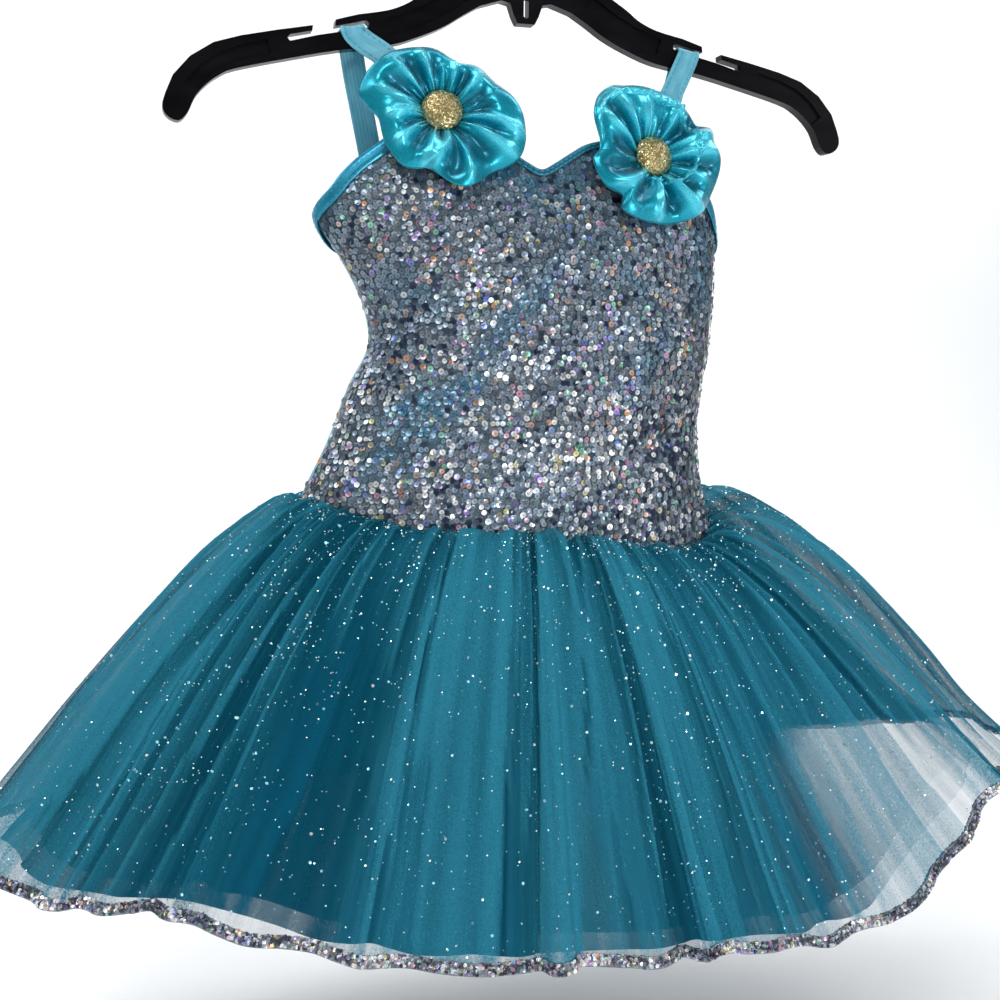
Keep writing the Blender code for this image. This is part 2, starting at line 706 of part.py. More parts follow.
def make_hanger():
    """Hanger of one moulding, with strap notches, sunk arms, a slotted tab and a bore."""
    outline = list(HANGER_HALF) + list(reversed(mirrored(HANGER_HALF)))
    hanger = curve_to_mesh(flat_curve("hanger", outline, HANGER_THICK, 0, PARTS),
                           "black_plastic", PARTS)
    number = 0
    for centre, half in ARM_RECESSES:
        band = band_outline(centre, half)
        for side_outline in (band, mirrored(band)):
            for face in (-1, 1):
                number += 1
                middle = face * HANGER_THICK / 2
                recess = flat_curve(f"recess_{number}", side_outline, 2 * RECESS_DEPTH,
                                    middle, CUTTERS)
                cut(hanger, curve_to_mesh(recess, "black_plastic", CUTTERS))
    half, (low, high) = TAB_SLOT_WIDTH / 2, TAB_SLOT_HEIGHTS
    slot = [(-half, low), (half, low), (half, high), (-half, high)]
    cut(hanger, curve_to_mesh(flat_curve("tab_slot", slot, 2 * HANGER_THICK, 0, CUTTERS),
                              "black_plastic", CUTTERS))
    bpy.ops.mesh.primitive_cylinder_add(
        vertices=16, radius=(HOOK_WIRE + HOOK_BORE_SLACK) * MM, depth=30 * MM,
        location=(0, 0, (HOOK_STEM_END - SEAM_GAP + 15) * MM))
    bore = bpy.context.object
    bore.name = "hook_bore"
    for collection in list(bore.users_collection):
        collection.objects.unlink(bore)
    CUTTERS.objects.link(bore)
    cut(hanger, bore)


def make_hook():
    """Steel wire hook whose stem stands in the hanger's bore."""
    radius = HOOK_INSIDE + HOOK_WIRE
    centre_z = -HOOK_INSIDE
    points = [Vector((0, 0, HOOK_STEM_END)), Vector((0, 0, -56)), Vector((0, 0, -50)),
              Vector((1.6, 0, -45.5)), Vector((6, 0, -41.8)), Vector((11.4, 0, -38.4))]
    first, last, steps = -50, 205, 20
    for step in range(steps + 1):
        turn = math.radians(first + (last - first) * step / steps)
        points.append(Vector((radius * math.cos(turn), 0, centre_z + radius * math.sin(turn))))
    curve = bpy.data.curves.new("hook", "CURVE")
    curve.dimensions = "3D"
    curve.bevel_depth = HOOK_WIRE * MM
    curve.bevel_resolution = 2
    curve.use_fill_caps = True
    spline = curve.splines.new("POLY")
    spline.points.add(len(points) - 1)
    for place, point in zip(spline.points, points):
        place.co = (*(point * MM), 1)
    hook = bpy.data.objects.new("hook", curve)
    PARTS.objects.link(hook)
    curve_to_mesh(hook, "steel_wire", PARTS)


make_bodice()
make_bindings()
make_brief()
make_skirt()
make_strap("strap_l", LEFT_STRAP)
make_strap("strap_r", RIGHT_STRAP)
make_rosette("rosette_l", "button_l", -47, -140, LEFT_ROSETTE_RIM, 0.6)
make_rosette("rosette_r", "button_r", 61, -157, RIGHT_ROSETTE_RIM, 1.9)
make_hanger()
make_hook()
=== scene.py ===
"""Dressed model of a child's dance leotard with a tulle skirt, on a notched hanger.

Shapes are worked out in millimetres and become metres where a mesh is made. +Z is up,
-Y is the front, and the origin is where the hanger's hook bears on its rail.
Angles round the body run from 0 at the front centre to +90 at the viewer's right.
"""
import math
import random

import bpy
from mathutils import Matrix, Vector


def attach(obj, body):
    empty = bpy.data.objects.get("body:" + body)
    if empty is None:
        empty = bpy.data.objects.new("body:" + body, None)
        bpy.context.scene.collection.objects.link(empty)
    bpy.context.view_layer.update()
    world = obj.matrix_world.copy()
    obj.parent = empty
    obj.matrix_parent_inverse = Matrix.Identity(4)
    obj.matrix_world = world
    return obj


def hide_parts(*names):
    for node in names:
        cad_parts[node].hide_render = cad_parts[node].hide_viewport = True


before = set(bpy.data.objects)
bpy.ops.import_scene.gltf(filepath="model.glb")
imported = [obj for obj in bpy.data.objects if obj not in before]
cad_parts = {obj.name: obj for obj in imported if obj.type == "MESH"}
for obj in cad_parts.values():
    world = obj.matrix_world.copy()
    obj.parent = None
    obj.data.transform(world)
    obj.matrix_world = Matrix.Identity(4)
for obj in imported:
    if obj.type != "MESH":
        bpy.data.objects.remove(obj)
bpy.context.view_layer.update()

MM = 0.001

# Cloth and seams, as in the solids
SEAM_GAP = 0.3
SEAM_RADIUS = 60.0
BRIEF_DROP = 3.4
NECK_BINDING_WIDTH = 3.0
ARMHOLE_BINDING_WIDTH = 6.0
BACK_BINDING_WIDTH = 5.0
LEFT_SEAM = -85.0
RIGHT_SEAM = 82.0
STRAP_WIDTH = 12.0

# Height well inside the front and the back panel
MIDDLE_HEIGHT = -265.0

# Thin cloth of the dressed model
PANEL_CLOTH = 0.7
BINDING_CLOTH = 0.35
SATIN_CLOTH = 0.5
STRAP_THICKNESS = 1.2

# Stitches
STITCH_LENGTH = 2.0
STITCH_GAP = 1.0
STITCH_RADIUS = 0.22

# Sequins and glitter
SEQUIN_RADIUS = 1.58
SEQUIN_PITCH = 2.85
# Rows stand closer than the discs in a row, as circles do when they are nested
SEQUIN_ROW_SHARE = 0.866
SEQUIN_ROW_SHIFT = 0.8
SEQUIN_STAND = 1.25
SEQUIN_SCATTER = 0.85
SEQUINS_TOP = -134.0
SEQUINS_BOTTOM = -356.0
# Room between the discs' centres and the panel's edges, in millimetres and degrees
NECK_ROOM = 4.6
ARMHOLE_ROOM = 7.6
WAIST_ROOM = 0.8
LEFT_SEAM_ROOM = 0.8
RIGHT_SEAM_ROOM = 0.6
NECK_ANGLES = (-40, 36)
TRIM_SEQUIN_RADIUS = 0.95
TRIM_PITCH = 1.35
TRIM_HEIGHT = 5.0
TRIM_ROWS = (0.7, 1.9, 3.1, 4.3)
GLITTER_DOTS = 9000
SILVER_LEVELS = (0.20, 0.31, 0.36, 0.42)
RAINBOW_COLOURS = ((0.45, 0.25, 0.95), (0.15, 0.30, 1.0), (0.25, 0.85, 0.55),
                   (1.0, 0.45, 0.22), (0.95, 0.35, 0.60), (0.90, 0.80, 0.30))
# Teal that discs are mixed towards: their own tone near the top edge and in random patches,
# painted shade in creases and under the rosettes
SEA_COLOUR = (0.02, 0.20, 0.34)
# Discs painted dark on the front and on the hem trim: painted shade for discs that catch no
# light
PAINTED_DARK_SEQUIN = (0.02, 0.035, 0.08)
PAINTED_DARK_TRIM = (0.06, 0.07, 0.10)
GLITTER_COLOURS = ((0.45, 0.85, 0.95), (0.9, 1.0, 1.0), (0.35, 0.75, 0.9))
GOLD_COLOURS = ((0.46, 0.36, 0.14), (0.34, 0.25, 0.09), (0.80, 0.70, 0.42),
                (0.22, 0.16, 0.05), (0.42, 0.35, 0.17))
GOLD_EDGE = (0.4, 0.28, 0.08)

# Hanger and hook
HANGER_THICK = 7.0
RECESS_DEPTH = 1.8
TAB_SLOT_WIDTH = 2.6
TAB_SLOT_HEIGHTS = (-88.4, -78.0)
EDGE_ROUND = 0.7
HOOK_WIRE = 2.0
HOOK_INSIDE = 19.0
HOOK_STEM_END = -68.0
# Shares of the wire's radius over its rounded end
HOOK_TIP = (0.8, 0.3)

# Camera, lights and backdrop: places in metres, angles in degrees
CAMERA_PLACE = (-0.1988, -0.6535, -0.2540)
CAMERA_TURN = -16.0
CAMERA_TILT = 83.5
CAMERA_ROLL = 0.3
CAMERA_LENS = 47.12
PART_MIDDLE = (0.0, 0.0, -0.30)
WALL_MIDDLE = (0.0, 1.3, -0.3)
LIGHTS = (
    # name, place, target, size, power, colour
    ("key", (-0.7, -1.2, 0.9), PART_MIDDLE, 0.6, 12.0, (1.0, 0.98, 0.95)),
    ("fill", (1.3, -1.2, 0.1), PART_MIDDLE, 0.9, 4.0, (0.94, 0.97, 1.0)),
    ("top", (0.1, 0.1, 1.3), PART_MIDDLE, 0.9, 6.0, (1.0, 1.0, 1.0)),
    ("flash", (0.35, -1.2, -0.45), PART_MIDDLE, 0.16, 4.0, (1.0, 1.0, 1.0)),
    ("wall_left", (-1.1, 0.3, 0.9), WALL_MIDDLE, 0.9, 14.0, (1.0, 1.0, 1.0)),
    ("wall_right", (1.1, 0.3, 0.9), WALL_MIDDLE, 0.9, 14.0, (1.0, 1.0, 1.0)),
)
SKY_COLOUR = (0.86, 0.91, 0.96, 1.0)
SKY_STRENGTH = 0.28
FLOOR_HEIGHT = -640.0
WALL_DISTANCE = 1300.0
WALL_TOP = 2600.0
WALL_CURVE = 500.0
BACKDROP_REACH = 3000.0

# Skirt
OUTER_FOLDS = 34
INNER_FOLDS = 24
POINTS_PER_FOLD = 4
FINE_ACROSS = 7
FINE_DOWN = 5
# Share of the way round that the widest pleat takes up
PLEAT_WIDEST = 0.045
# Heights of the fine gathers, the ripples and one folded pleat
GATHER_RISE = 1.3
RIPPLE_RISE = 1.2
PLEAT_RISE = 0.9

BODICE_SECTIONS = (
    # z, left, right, front, back
    (-120, 107, 104, 10, 20),
    (-150, 108, 105, 20, 25),
    (-187, 107, 105, 30, 30),
    (-208, 94, 105, 34, 33),
    (-230, 83, 104, 37, 35),
    (-252, 80, 102, 40, 37),
    (-272, 90, 98, 42, 39),
    (-300, 101, 96, 44, 42),
    (-327, 114, 99, 46, 45),
    (-345, 118, 104, 47, 46),
    (-360, 119, 105, 47, 46),
)
BRIEF_SECTIONS = (
    # z, left, right, front, back
    (-328, 111.2, 96.2, 43, 42),
    (-345, 114.6, 99.4, 44, 43),
    (-385, 100, 95, 43, 45),
    (-420, 80, 78, 37, 41),
    (-455, 52, 52, 24, 27),
    (-480, 40, 40, 8, 9),
    (-492, 38, 38, 0.4, 0.4),
)
WAIST_LINE = (
    # angle, z
    (-180, -338), (-130, -334), (-90, -328), (-70, -329), (-50, -334), (-30, -341),
    (0, -345), (20, -351), (40, -356), (60, -354), (80, -344), (95, -338),
    (130, -337), (180, -338),
)
HEM_LINE = (
    # angle, z
    (-180, -510), (-130, -500), (-90, -489), (-58, -498), (-44, -496), (-30, -510),
    (-15, -523), (0, -528), (11, -531), (26, -536), (33, -535), (40, -523),
    (46, -508), (53, -494), (66, -483), (81, -478), (100, -478), (130, -492),
    (180, -510),
)
HEM_REACH = {"left": 279, "right": 294, "front": 130, "back": 126}
PUFF_LINE = (
    # angle, share
    (-180, 0.9), (-120, 0.5), (-85, 0.25), (-45, 0.5), (0, 0.7), (45, 1.0), (80, 2.5),
    (110, 2.6), (145, 1.4), (180, 0.9),
)
FRONT_TOP = (
    # x, z
    (-104.3, -187), (-101, -178), (-95, -170), (-88, -163), (-80, -157), (-73, -151),
    (-68, -140), (-66.5, -133), (-60.5, -133), (-54.5, -133), (-48, -137), (-38, -144),
    (-26, -151), (-13, -158), (-5, -163), (2, -166), (10, -162), (18, -157),
    (27, -152), (40, -149), (52, -148), (59.5, -147.6), (65.5, -147.6), (71.5, -147.6),
    (74, -153), (80, -158), (88, -164), (95, -171), (101, -180), (103.9, -190),
)
BACK_TOP = (
    # angle, z
    (-85, -187), (-90, -191), (-97, -196), (-106, -200), (-118, -201), (-130, -197),
    (-137, -193), (-141, -193), (-145, -193), (-152, -201), (-165, -212), (-180, -216),
    (-195, -213), (-208, -204), (-215, -197), (-219, -197), (-223, -197), (-230, -201),
    (-243, -205), (-256, -203), (-268, -197), (-278, -190),
)
LEG_LINE = (
    # share, z
    (-1.0, -398), (-0.82, -404), (-0.66, -418), (-0.52, -440), (-0.42, -465),
    (-0.36, -488), (-0.18, -491), (0.0, -491), (0.18, -491), (0.36, -488),
    (0.42, -465), (0.52, -440), (0.66, -418), (0.82, -404), (1.0, -398),
)
FRONT_CREASES = (
    # x0, z0, x1, z1, half_width, rise
    (-78, -262, 10, -205, 11, 3.0),
    (-76, -246, -20, -200, 8, -2.5),
    (-82, -276, 30, -262, 10, -2.5),
    (-88, -296, 40, -292, 12, 2.8),
    (98, -262, 30, -225, 11, 2.4),
    (97, -286, 25, -318, 11, -2.2),
    (60, -200, 40, -320, 13, 1.8),
)
# Where creases and rosettes leave the front's cloth in shade
FRONT_SHADES = (
    # x0, z0, x1, z1, half_width, depth
    (12, -208, -36, -262, 9, 0.8),
    (-30, -262, -74, -312, 10, 0.85),
    (-52, -262, -96, -330, 8, 0.6),
    (-92, -292, -30, -268, 7, 0.5),
    (-78, -216, -40, -240, 12, 0.6),
    (90, -178, 92, -240, 11, 0.8),
    (44, -174, 78, -194, 13, 0.9),
    (-74, -158, -12, -168, 12, 0.85),
    (72, -236, 40, -282, 8, 0.55),
    (30, -196, 60, -232, 8, 0.4),
    (12, -352, 34, -330, 7, 0.4),
)
# Places where many discs are painted dark, as painted shade for discs that catch no light: x,
# z, radius, share
PAINTED_DARK_PATCHES = (
    (-58, -240, 26, 0.45), (-70, -262, 20, 0.35), (72, -300, 34, 0.5), (30, -335, 30, 0.35),
    (-86, -200, 16, 0.3), (8, -262, 24, 0.3), (66, -338, 24, 0.5), (-40, -336, 26, 0.3),
)
BACK_CREASES = (
    # x0, z0, x1, z1, half_width, rise
    (-78, -258, 0, -232, 11, 2.6),
    (-80, -276, 25, -285, 11, -2.4),
    (99, -268, 15, -240, 11, 2.4),
    (-95, -315, 10, -308, 12, 2.0),
)
OUTER_PROFILE = (
    # share_out, share_down, out, up, wave
    (0.00, 0.00, 0.2, -0.4, 0.00),
    (0.00, 0.00, 3.0, -0.7, 0.08),
    (0.06, 0.00, 4.0, 2.5, 0.18),
    (0.17, 0.07, 4.0, 3.0, 0.30),
    (0.32, 0.20, 4.5, 2.5, 0.45),
    (0.50, 0.39, 3.5, 1.5, 0.60),
    (0.68, 0.60, 2.0, 0.5, 0.76),
    (0.84, 0.80, 0.0, 0.0, 0.90),
    (1.00, 1.00, 0.0, 0.0, 1.00),
)
INNER_PROFILE = (
    # share_out, share_down, out, up, wave
    (0.00, 0.00, -0.7, -2.0, 0.00),
    (0.06, 0.03, -1.2, -2.2, 0.12),
    (0.24, 0.20, -2.0, -2.0, 0.35),
    (0.47, 0.45, -2.0, 0.0, 0.60),
    (0.74, 0.74, -2.0, 0.0, 0.85),
    (1.00, 1.00, 0.0, 0.0, 1.00),
)
OUTER_SHARES = {"side": 1.0, "depth": 1.0, "down": 1.0}
INNER_SHARES = {"side": 0.88, "depth": 0.80, "down": 1.0}
LINING_SHARES = {"side": 0.81, "depth": 0.72, "down": 0.97}
# How closely each layer is gathered round the body: angle, share
OUTER_FULLNESS = (
    (-180, 1.0), (-125, 1.3), (-92, 1.6), (-60, 1.25), (-30, 0.9), (5, 0.75), (40, 0.8),
    (72, 1.3), (100, 1.6), (140, 1.2), (180, 1.0),
)
INNER_FULLNESS = (
    (-180, 1.15), (-120, 0.85), (-92, 0.7), (-62, 1.05), (-30, 1.35), (15, 1.4), (42, 1.0),
    (70, 0.55), (100, 0.45), (140, 0.55), (180, 1.15),
)
# How much closer a pleat's folded edge is than the cloth beside it
PLEAT_EDGE = 0.5
# The lower part of the inner layers is thin here: middle angle, half width, share, loss
INNER_THIN = (56, 40, 0.52, 0.92)

LEFT_STRAP = (
    # x, y, z, lean
    (-60.5, -12.3, -132.4, 0), (-62.5, -11.0, -125, 16), (-67.5, -9.6, -117, 36),
    (-75, -7.0, -110.5, 42), (-81.5, -5.4, -106.2, 36), (-86, -4.8, -102.8, 20),
    (-88, -4.9, -100.2, 12), (-88, -4.0, -98.75, 12), (-88, 0, -98.6, 12),
    (-88, 4.0, -98.75, 12), (-88, 4.9, -100.2, 12), (-87.4, 5.0, -106, 14),
    (-85, 6.6, -120, 17), (-80, 10.0, -142, 17), (-74, 16, -168, 11),
    (-69.4, 24.6, -192.4, 0),
)
RIGHT_STRAP = (
    # x, y, z, lean
    (65.5, -15.5, -147.0, 0), (68, -13.2, -139, -12), (73, -11.2, -129, -22),
    (79.5, -7.8, -117.5, -27), (84.5, -5.6, -108.2, -24), (87, -4.8, -103.2, -16),
    (88, -4.9, -100.2, -12), (88, -4.0, -98.75, -12), (88, 0, -98.6, -12),
    (88, 4.0, -98.75, -12), (88, 4.9, -100.2, -12), (87, 5.0, -106, -16),
    (83.5, 7.0, -122, -18), (78, 11.0, -146, -15), (71.5, 17.5, -172, -10),
    (66.2, 25.2, -196.4, 0),
)
HANGER_HALF = (
    # x, z
    (12, -58.5), (20, -61), (35, -69.5), (53, -80), (60, -85), (70, -89.3),
    (85, -92.4), (96, -95.6), (96.4, -98.6), (88, -96.7), (81, -95.0), (79.6, -96.4),
    (80.4, -98.3), (96, -101.6), (105, -103.5), (118, -107), (119.4, -105.6),
    (118, -104), (107.4, -101.6), (107, -99), (124, -102.3), (141, -106), (154, -110),
    (165, -117), (173, -126), (178, -138.5), (176.6, -144.5), (171, -147),
    (166.6, -143), (163, -135.5), (158, -129.8), (152, -125.2), (144, -121.5),
    (119, -115.3), (95, -110), (70, -106), (54, -100.5), (42, -95), (33, -89.3),
    (24, -84), (13, -80.5), (8.5, -81.5), (6.6, -87), (4.5, -91),
)
# Rows of that edge where the arm's top curve ends, and where its tip ends
HANGER_TOP_END = 7
HANGER_TIP_END = 24
ARM_RECESSES = (
    (((32, -78), (45, -86.3), (58, -92.8), (72, -97.6)), 4.3),
    (((128, -110.3), (141, -113.6), (150, -117.2), (158, -122.8), (164, -130)), 3.4),
)

LEFT_ROSETTE_RIM = (
    # angle, radius
    (-180, 36), (-168, 32), (-142, 35), (-123, 37), (-102, 33), (-79, 42), (-55, 39),
    (-32, 44), (-7, 40), (10, 35), (27, 31), (48, 29), (70, 26), (92, 31), (113, 34),
    (140, 37), (169, 41), (180, 36),
)
RIGHT_ROSETTE_RIM = (
    # angle, radius
    (-180, 33), (-172, 37), (-150, 36), (-134, 32), (-128, 38), (-92, 35), (-59, 37),
    (-36, 37), (-3, 37), (12, 35), (25, 37), (34, 31), (65, 36), (86, 34), (109, 38),
    (119, 41), (150, 40), (170, 33), (180, 33),
)
# Creases of the gathered satin: angle at the button, angle at the rim, share of the way
# out that each reaches, rise and half width
LEFT_ROSETTE_CREASES = (
    (-164, -168, 1.0, 3.4, 3.4), (-150, -152, 0.7, -2.4, 4.0), (-142, -138, 1.0, 3.2, 3.6),
    (-126, -122, 0.8, -2.2, 4.5), (-112, -104, 1.0, 3.4, 3.6), (-98, -96, 0.45, -2.6, 3.0),
    (-84, -88, 0.5, 2.2, 2.2), (-76, -108, 1.15, 4.4, 3.0), (-66, -92, 1.0, -3.0, 6.0),
    (-66, -72, 1.1, 3.0, 3.2), (-50, -54, 0.9, -2.4, 6.0), (-34, -34, 1.1, 3.6, 3.4),
    (-24, -26, 0.8, -3.0, 3.6), (-14, -18, 1.1, 3.8, 3.0), (0, 0, 0.6, -2.6, 4.0),
    (6, 6, 0.35, 2.6, 2.0), (20, 24, 0.7, -2.0, 4.5), (34, 46, 0.95, 3.6, 3.6),
    (50, 58, 0.8, -3.2, 4.5), (66, 76, 1.0, 3.6, 2.8), (78, 84, 0.5, -2.2, 2.6),
    (88, 90, 0.6, 2.4, 2.4), (100, 100, 0.8, -2.0, 3.2), (112, 112, 1.0, 3.8, 3.2),
    (126, 126, 0.85, -3.4, 4.5), (142, 138, 0.9, 3.2, 3.0), (158, 152, 0.8, -3.0, 5.0),
    (172, 164, 0.9, 2.8, 4.0), (184, 184, 0.35, 2.4, 2.0),
)
RIGHT_ROSETTE_CREASES = (
    (-158, 178, 1.1, 4.6, 3.2), (-148, -166, 0.9, -3.4, 5.0), (-128, -146, 1.0, 3.6, 4.0),
    (-112, -124, 0.8, -3.0, 4.5), (-96, -94, 1.1, 3.8, 3.4), (-80, -78, 0.9, -4.0, 4.0),
    (-66, -54, 1.15, 4.6, 3.0), (-46, -38, 0.8, -2.4, 6.0), (-30, -24, 0.9, 2.6, 4.0),
    (-14, -8, 1.0, -3.2, 4.2), (2, 4, 1.1, 3.6, 4.2), (16, 14, 0.4, -2.2, 2.4),
    (28, 20, 1.0, 3.4, 3.2), (40, 34, 1.1, -4.4, 4.6), (60, 62, 1.0, 3.4, 3.0),
    (72, 74, 0.5, -2.4, 3.0), (90, 84, 0.4, 2.4, 2.2), (104, 100, 1.0, 3.4, 3.6),
    (118, 114, 0.5, -2.6, 3.0), (132, 122, 1.1, 4.0, 3.4), (146, 134, 0.9, -3.6, 4.2),
    (166, 146, 1.0, 3.8, 3.2), (178, 164, 0.8, -3.0, 4.5), (190, 186, 0.35, 2.4, 2.0),
)
# Slow waves of each rim: times round, phase in degrees, rise
LEFT_ROSETTE_WAVES = ((3, 40, 1.5), (5, 110, 1.3), (8, 20, 0.8))
RIGHT_ROSETTE_WAVES = ((2, 70, 1.6), (5, 10, 1.8), (7, 140, 1.1))
# Rosette outwards: share of the way from the button's edge to the rim, lift, ruffle
ROSETTE_FORM = (
    (0.00, 0.6, 0.5), (0.10, 2.8, 0.8), (0.22, 5.3, 0.9), (0.40, 7.8, 0.92),
    (0.58, 8.9, 0.9), (0.76, 8.4, 0.85), (0.90, 6.8, 0.75), (1.00, 4.8, 0.6),
)
ROSETTE_EYE = 9.0
ROSETTE_COLUMNS = 360
ROSETTE_RINGS = 34
BUTTON_RADIUS = 10.0
BUTTON_HEIGHT = 6.5
PROUD_OF_PANEL = 3.1


# Shapes shared with the solids

def smooth_value(rows, at, column=1):
    """Value of a column of a sorted table, on one smooth curve through its rows."""
    ordered = rows if rows[0][0] < rows[-1][0] else tuple(reversed(rows))
    at = min(max(at, ordered[0][0]), ordered[-1][0])
    index = 0
    while index < len(ordered) - 2 and at > ordered[index + 1][0]:
        index += 1
    low, high = ordered[index], ordered[index + 1]
    span = high[0] - low[0]
    step = (high[column] - low[column]) / span

    def slope(place):
        if place == 0 or place == len(ordered) - 1:
            return step
        before, after = ordered[place - 1], ordered[place + 1]
        return (after[column] - before[column]) / (after[0] - before[0])

    part = (at - low[0]) / span
    start, end = slope(index) * span, slope(index + 1) * span
    rise = high[column] - low[column]
    return (low[column] + start * part
            + (3 * rise - 2 * start - end) * part ** 2
            + (start + end - 2 * rise) * part ** 3)


def section_reach(sections, z, angle):
    """Side reach and depth of a section at a height, for the quarter an angle is in."""
    side = 1 if math.sin(math.radians(angle)) < 0 else 2
    face = 3 if math.cos(math.radians(angle)) > 0 else 4
    return smooth_value(sections, z, side), smooth_value(sections, z, face)


def line_place(x, z, x0, z0, x1, z1):
    """Distances of a place along and across a line, and the line's length."""
    run_x, run_z = x1 - x0, z1 - z0
    length = math.hypot(run_x, run_z)
    along = ((x - x0) * run_x + (z - z0) * run_z) / length
    across = ((x - x0) * run_z - (z - z0) * run_x) / length
    return along, across, length


def crease_rise(creases, x, z):
    """Height of the creases at a place of a panel, fading to their ends."""
    total = 0.0
    for *ends, half_width, rise in creases:
        along, across, length = line_place(x, z, *ends)
        if 0 < along < length and abs(across) < half_width:
            fade = math.sin(math.pi * along / length)
            total += rise * fade * math.cos(math.pi / 2 * across / half_width) ** 2
    return total


def surface_point(sections, z, angle, creases=()):
    """Point of an oval section with its creases."""
    side, depth = section_reach(sections, z, angle)
    turn = math.radians(angle)
    x, y = side * math.sin(turn), -depth * math.cos(turn)
    level = Vector((math.sin(turn) / side, -math.cos(turn) / depth)).normalized()
    rise = crease_rise(creases, x, z)
    return Vector((x + rise * level.x, y + rise * level.y, z))


def surface_frame(sections, z, angle, creases=()):
    """Point of the surface, with its directions along the section, up and outward."""
    step = 1.0
    above = surface_point(sections, z + step, angle, creases)
    below = surface_point(sections, z - step, angle, creases)
    before = surface_point(sections, z, angle - step, creases)
    after = surface_point(sections, z, angle + step, creases)
    along = (after - before).normalized()
    outward = along.cross(above - below).normalized()
    return surface_point(sections, z, angle, creases), along, outward.cross(along), outward


def front_angle(x, z):
    """Angle at which the front of the bodice has this x at this height."""
    side = smooth_value(BODICE_SECTIONS, z, 1 if x < 0 else 2)
    return math.degrees(math.asin(max(-1.0, min(1.0, x / side))))


def wrap_angle(angle):
    """Angle brought into the range of the waist and hem tables."""
    return (angle + 180) % 360 - 180


def even_angles(count):
    """Angles of points evenly spaced, but for a slow drift, along the hem's oval."""
    fine = 720
    places, total = [0.0], 0.0
    side = (HEM_REACH["left"] + HEM_REACH["right"]) / 2
    depth = (HEM_REACH["front"] + HEM_REACH["back"]) / 2
    for step in range(fine):
        turn = 2 * math.pi * (step + 0.5) / fine
        total += math.hypot(side * math.cos(turn), depth * math.sin(turn))
        places.append(total)
    angles, step = [], 0
    for index in range(count):
        drift = 0.42 * math.sin(index * 0.83) + 1.1 * math.sin(index * 0.29 + 1.3)
        wanted = total * ((index + drift) / count % 1.0)
        step = 0 if wanted < places[step] else step
        while places[step + 1] < wanted:
            step += 1
        share = (wanted - places[step]) / (places[step + 1] - places[step])
        angles.append(360 * (step + share) / fine)
    return angles


def fold_wave(column, seed):
    """Height of the folds at a column, from -1 to 1, uneven from fold to fold."""
    fold, phase = divmod(column, POINTS_PER_FOLD)
    size = 0.62 + 0.38 * math.sin(fold * 2.3 + seed)
    return size * math.sin(2 * math.pi * phase / POINTS_PER_FOLD + 0.5 * math.sin(fold * 1.1))


def skirt_point(angle, row, wave, shares):
    """Point of the skirt on one row of its profile, at an angle round the body."""
    share_out, share_down, out, up, wave_share = row
    turn = math.radians(angle)
    waist_z = smooth_value(WAIST_LINE, wrap_angle(angle))
    hem_z = smooth_value(HEM_LINE, wrap_angle(angle))
    side, depth = section_reach(BODICE_SECTIONS, waist_z, angle)
    hem_side = HEM_REACH["left" if math.sin(turn) < 0 else "right"]
    hem_depth = HEM_REACH["front" if math.cos(turn) > 0 else "back"]
    x_reach = side + (hem_side - side) * share_out * shares["side"]
    y_reach = depth + (hem_depth - depth) * share_out * shares["depth"]
    normal = Vector((math.sin(turn) / x_reach, -math.cos(turn) / y_reach)).normalized()
    puff = smooth_value(PUFF_LINE, wrap_angle(angle)) if up >= 0 else 1.0
    moved = out * puff + wave * wave_share
    return Vector((x_reach * math.sin(turn) + moved * normal.x,
                   -y_reach * math.cos(turn) + moved * normal.y,
                   waist_z + (hem_z - waist_z) * share_down * shares["down"] + up * puff))


def seat_frame(x, z):
    """Seat of a rosette on the front, with the panel's right, up and outward axes."""
    step = 4.0

    def on_panel(px, pz):
        return surface_point(BODICE_SECTIONS, pz, front_angle(px, pz))

    right = (on_panel(x + step, z) - on_panel(x - step, z)).normalized()
    up = (on_panel(x, z + step) - on_panel(x, z - step)).normalized()
    outward = right.cross(up).normalized()
    if outward.y > 0:
        outward = -outward
    up = outward.cross(right).normalized()
    if up.z < 0:
        up = -up
    return on_panel(x, z) + outward * PROUD_OF_PANEL, right, up, outward


# Smooth curves and grids

def around(centre, first, second, turn, reach):
    """Point at a reach from a centre, at a turn from one direction towards another."""
    return centre + first * (reach * math.cos(turn)) + second * (reach * math.sin(turn))


def neighbours(items, index):
    """Items before and after a place in a list, or the end ones themselves."""
    return items[max(0, index - 1)], items[min(len(items) - 1, index + 1)]


def curve_between(a, b, c, d, share):
    """Place between b and c on the smooth curve through four places."""
    return (b + (c - a) * (0.5 * share)
            + (a * 2 - b * 5 + c * 4 - d) * (0.5 * share ** 2)
            + ((b - c) * 3 + d - a) * (0.5 * share ** 3))


def refine(points, parts, closed=False):
    """Points on a smooth curve through the given ones, in so many parts to each step."""
    count = len(points)
    fine = []
    for index in range(count if closed else count - 1):
        if closed:
            near = [points[(index + shift) % count] for shift in (-1, 0, 1, 2)]
        else:
            near = [points[min(max(index + shift, 0), count - 1)] for shift in (-1, 0, 1, 2)]
        fine += [curve_between(*near, part / parts) for part in range(parts)]
    if not closed:
        fine.append(points[-1])
    return fine


def refine_grid(rows, across, down, closed=False):
    """Grid with more columns and rows, on a smooth surface through the given points."""
    wide = [refine(row, across, closed) for row in rows]
    columns = [refine([row[place] for row in wide], down) for place in range(len(wide[0]))]
    return [[column[place] for column in columns] for place in range(len(columns[0]))]


def grid_normals(rows, closed=False):
    """Outward normals of a grid whose columns run by angle and whose rows run down."""
    count, columns = len(rows), len(rows[0])
    normals = []
    for r in range(count):
        line = []
        for c in range(columns):
            if closed:
                before, after = rows[r][c - 1], rows[r][(c + 1) % columns]
            else:
                before, after = neighbours(rows[r], c)
            rise = rows[max(r - 1, 0)][c] - rows[min(r + 1, count - 1)][c]
            line.append((after - before).cross(rise).normalized())
        normals.append(line)
    return normals


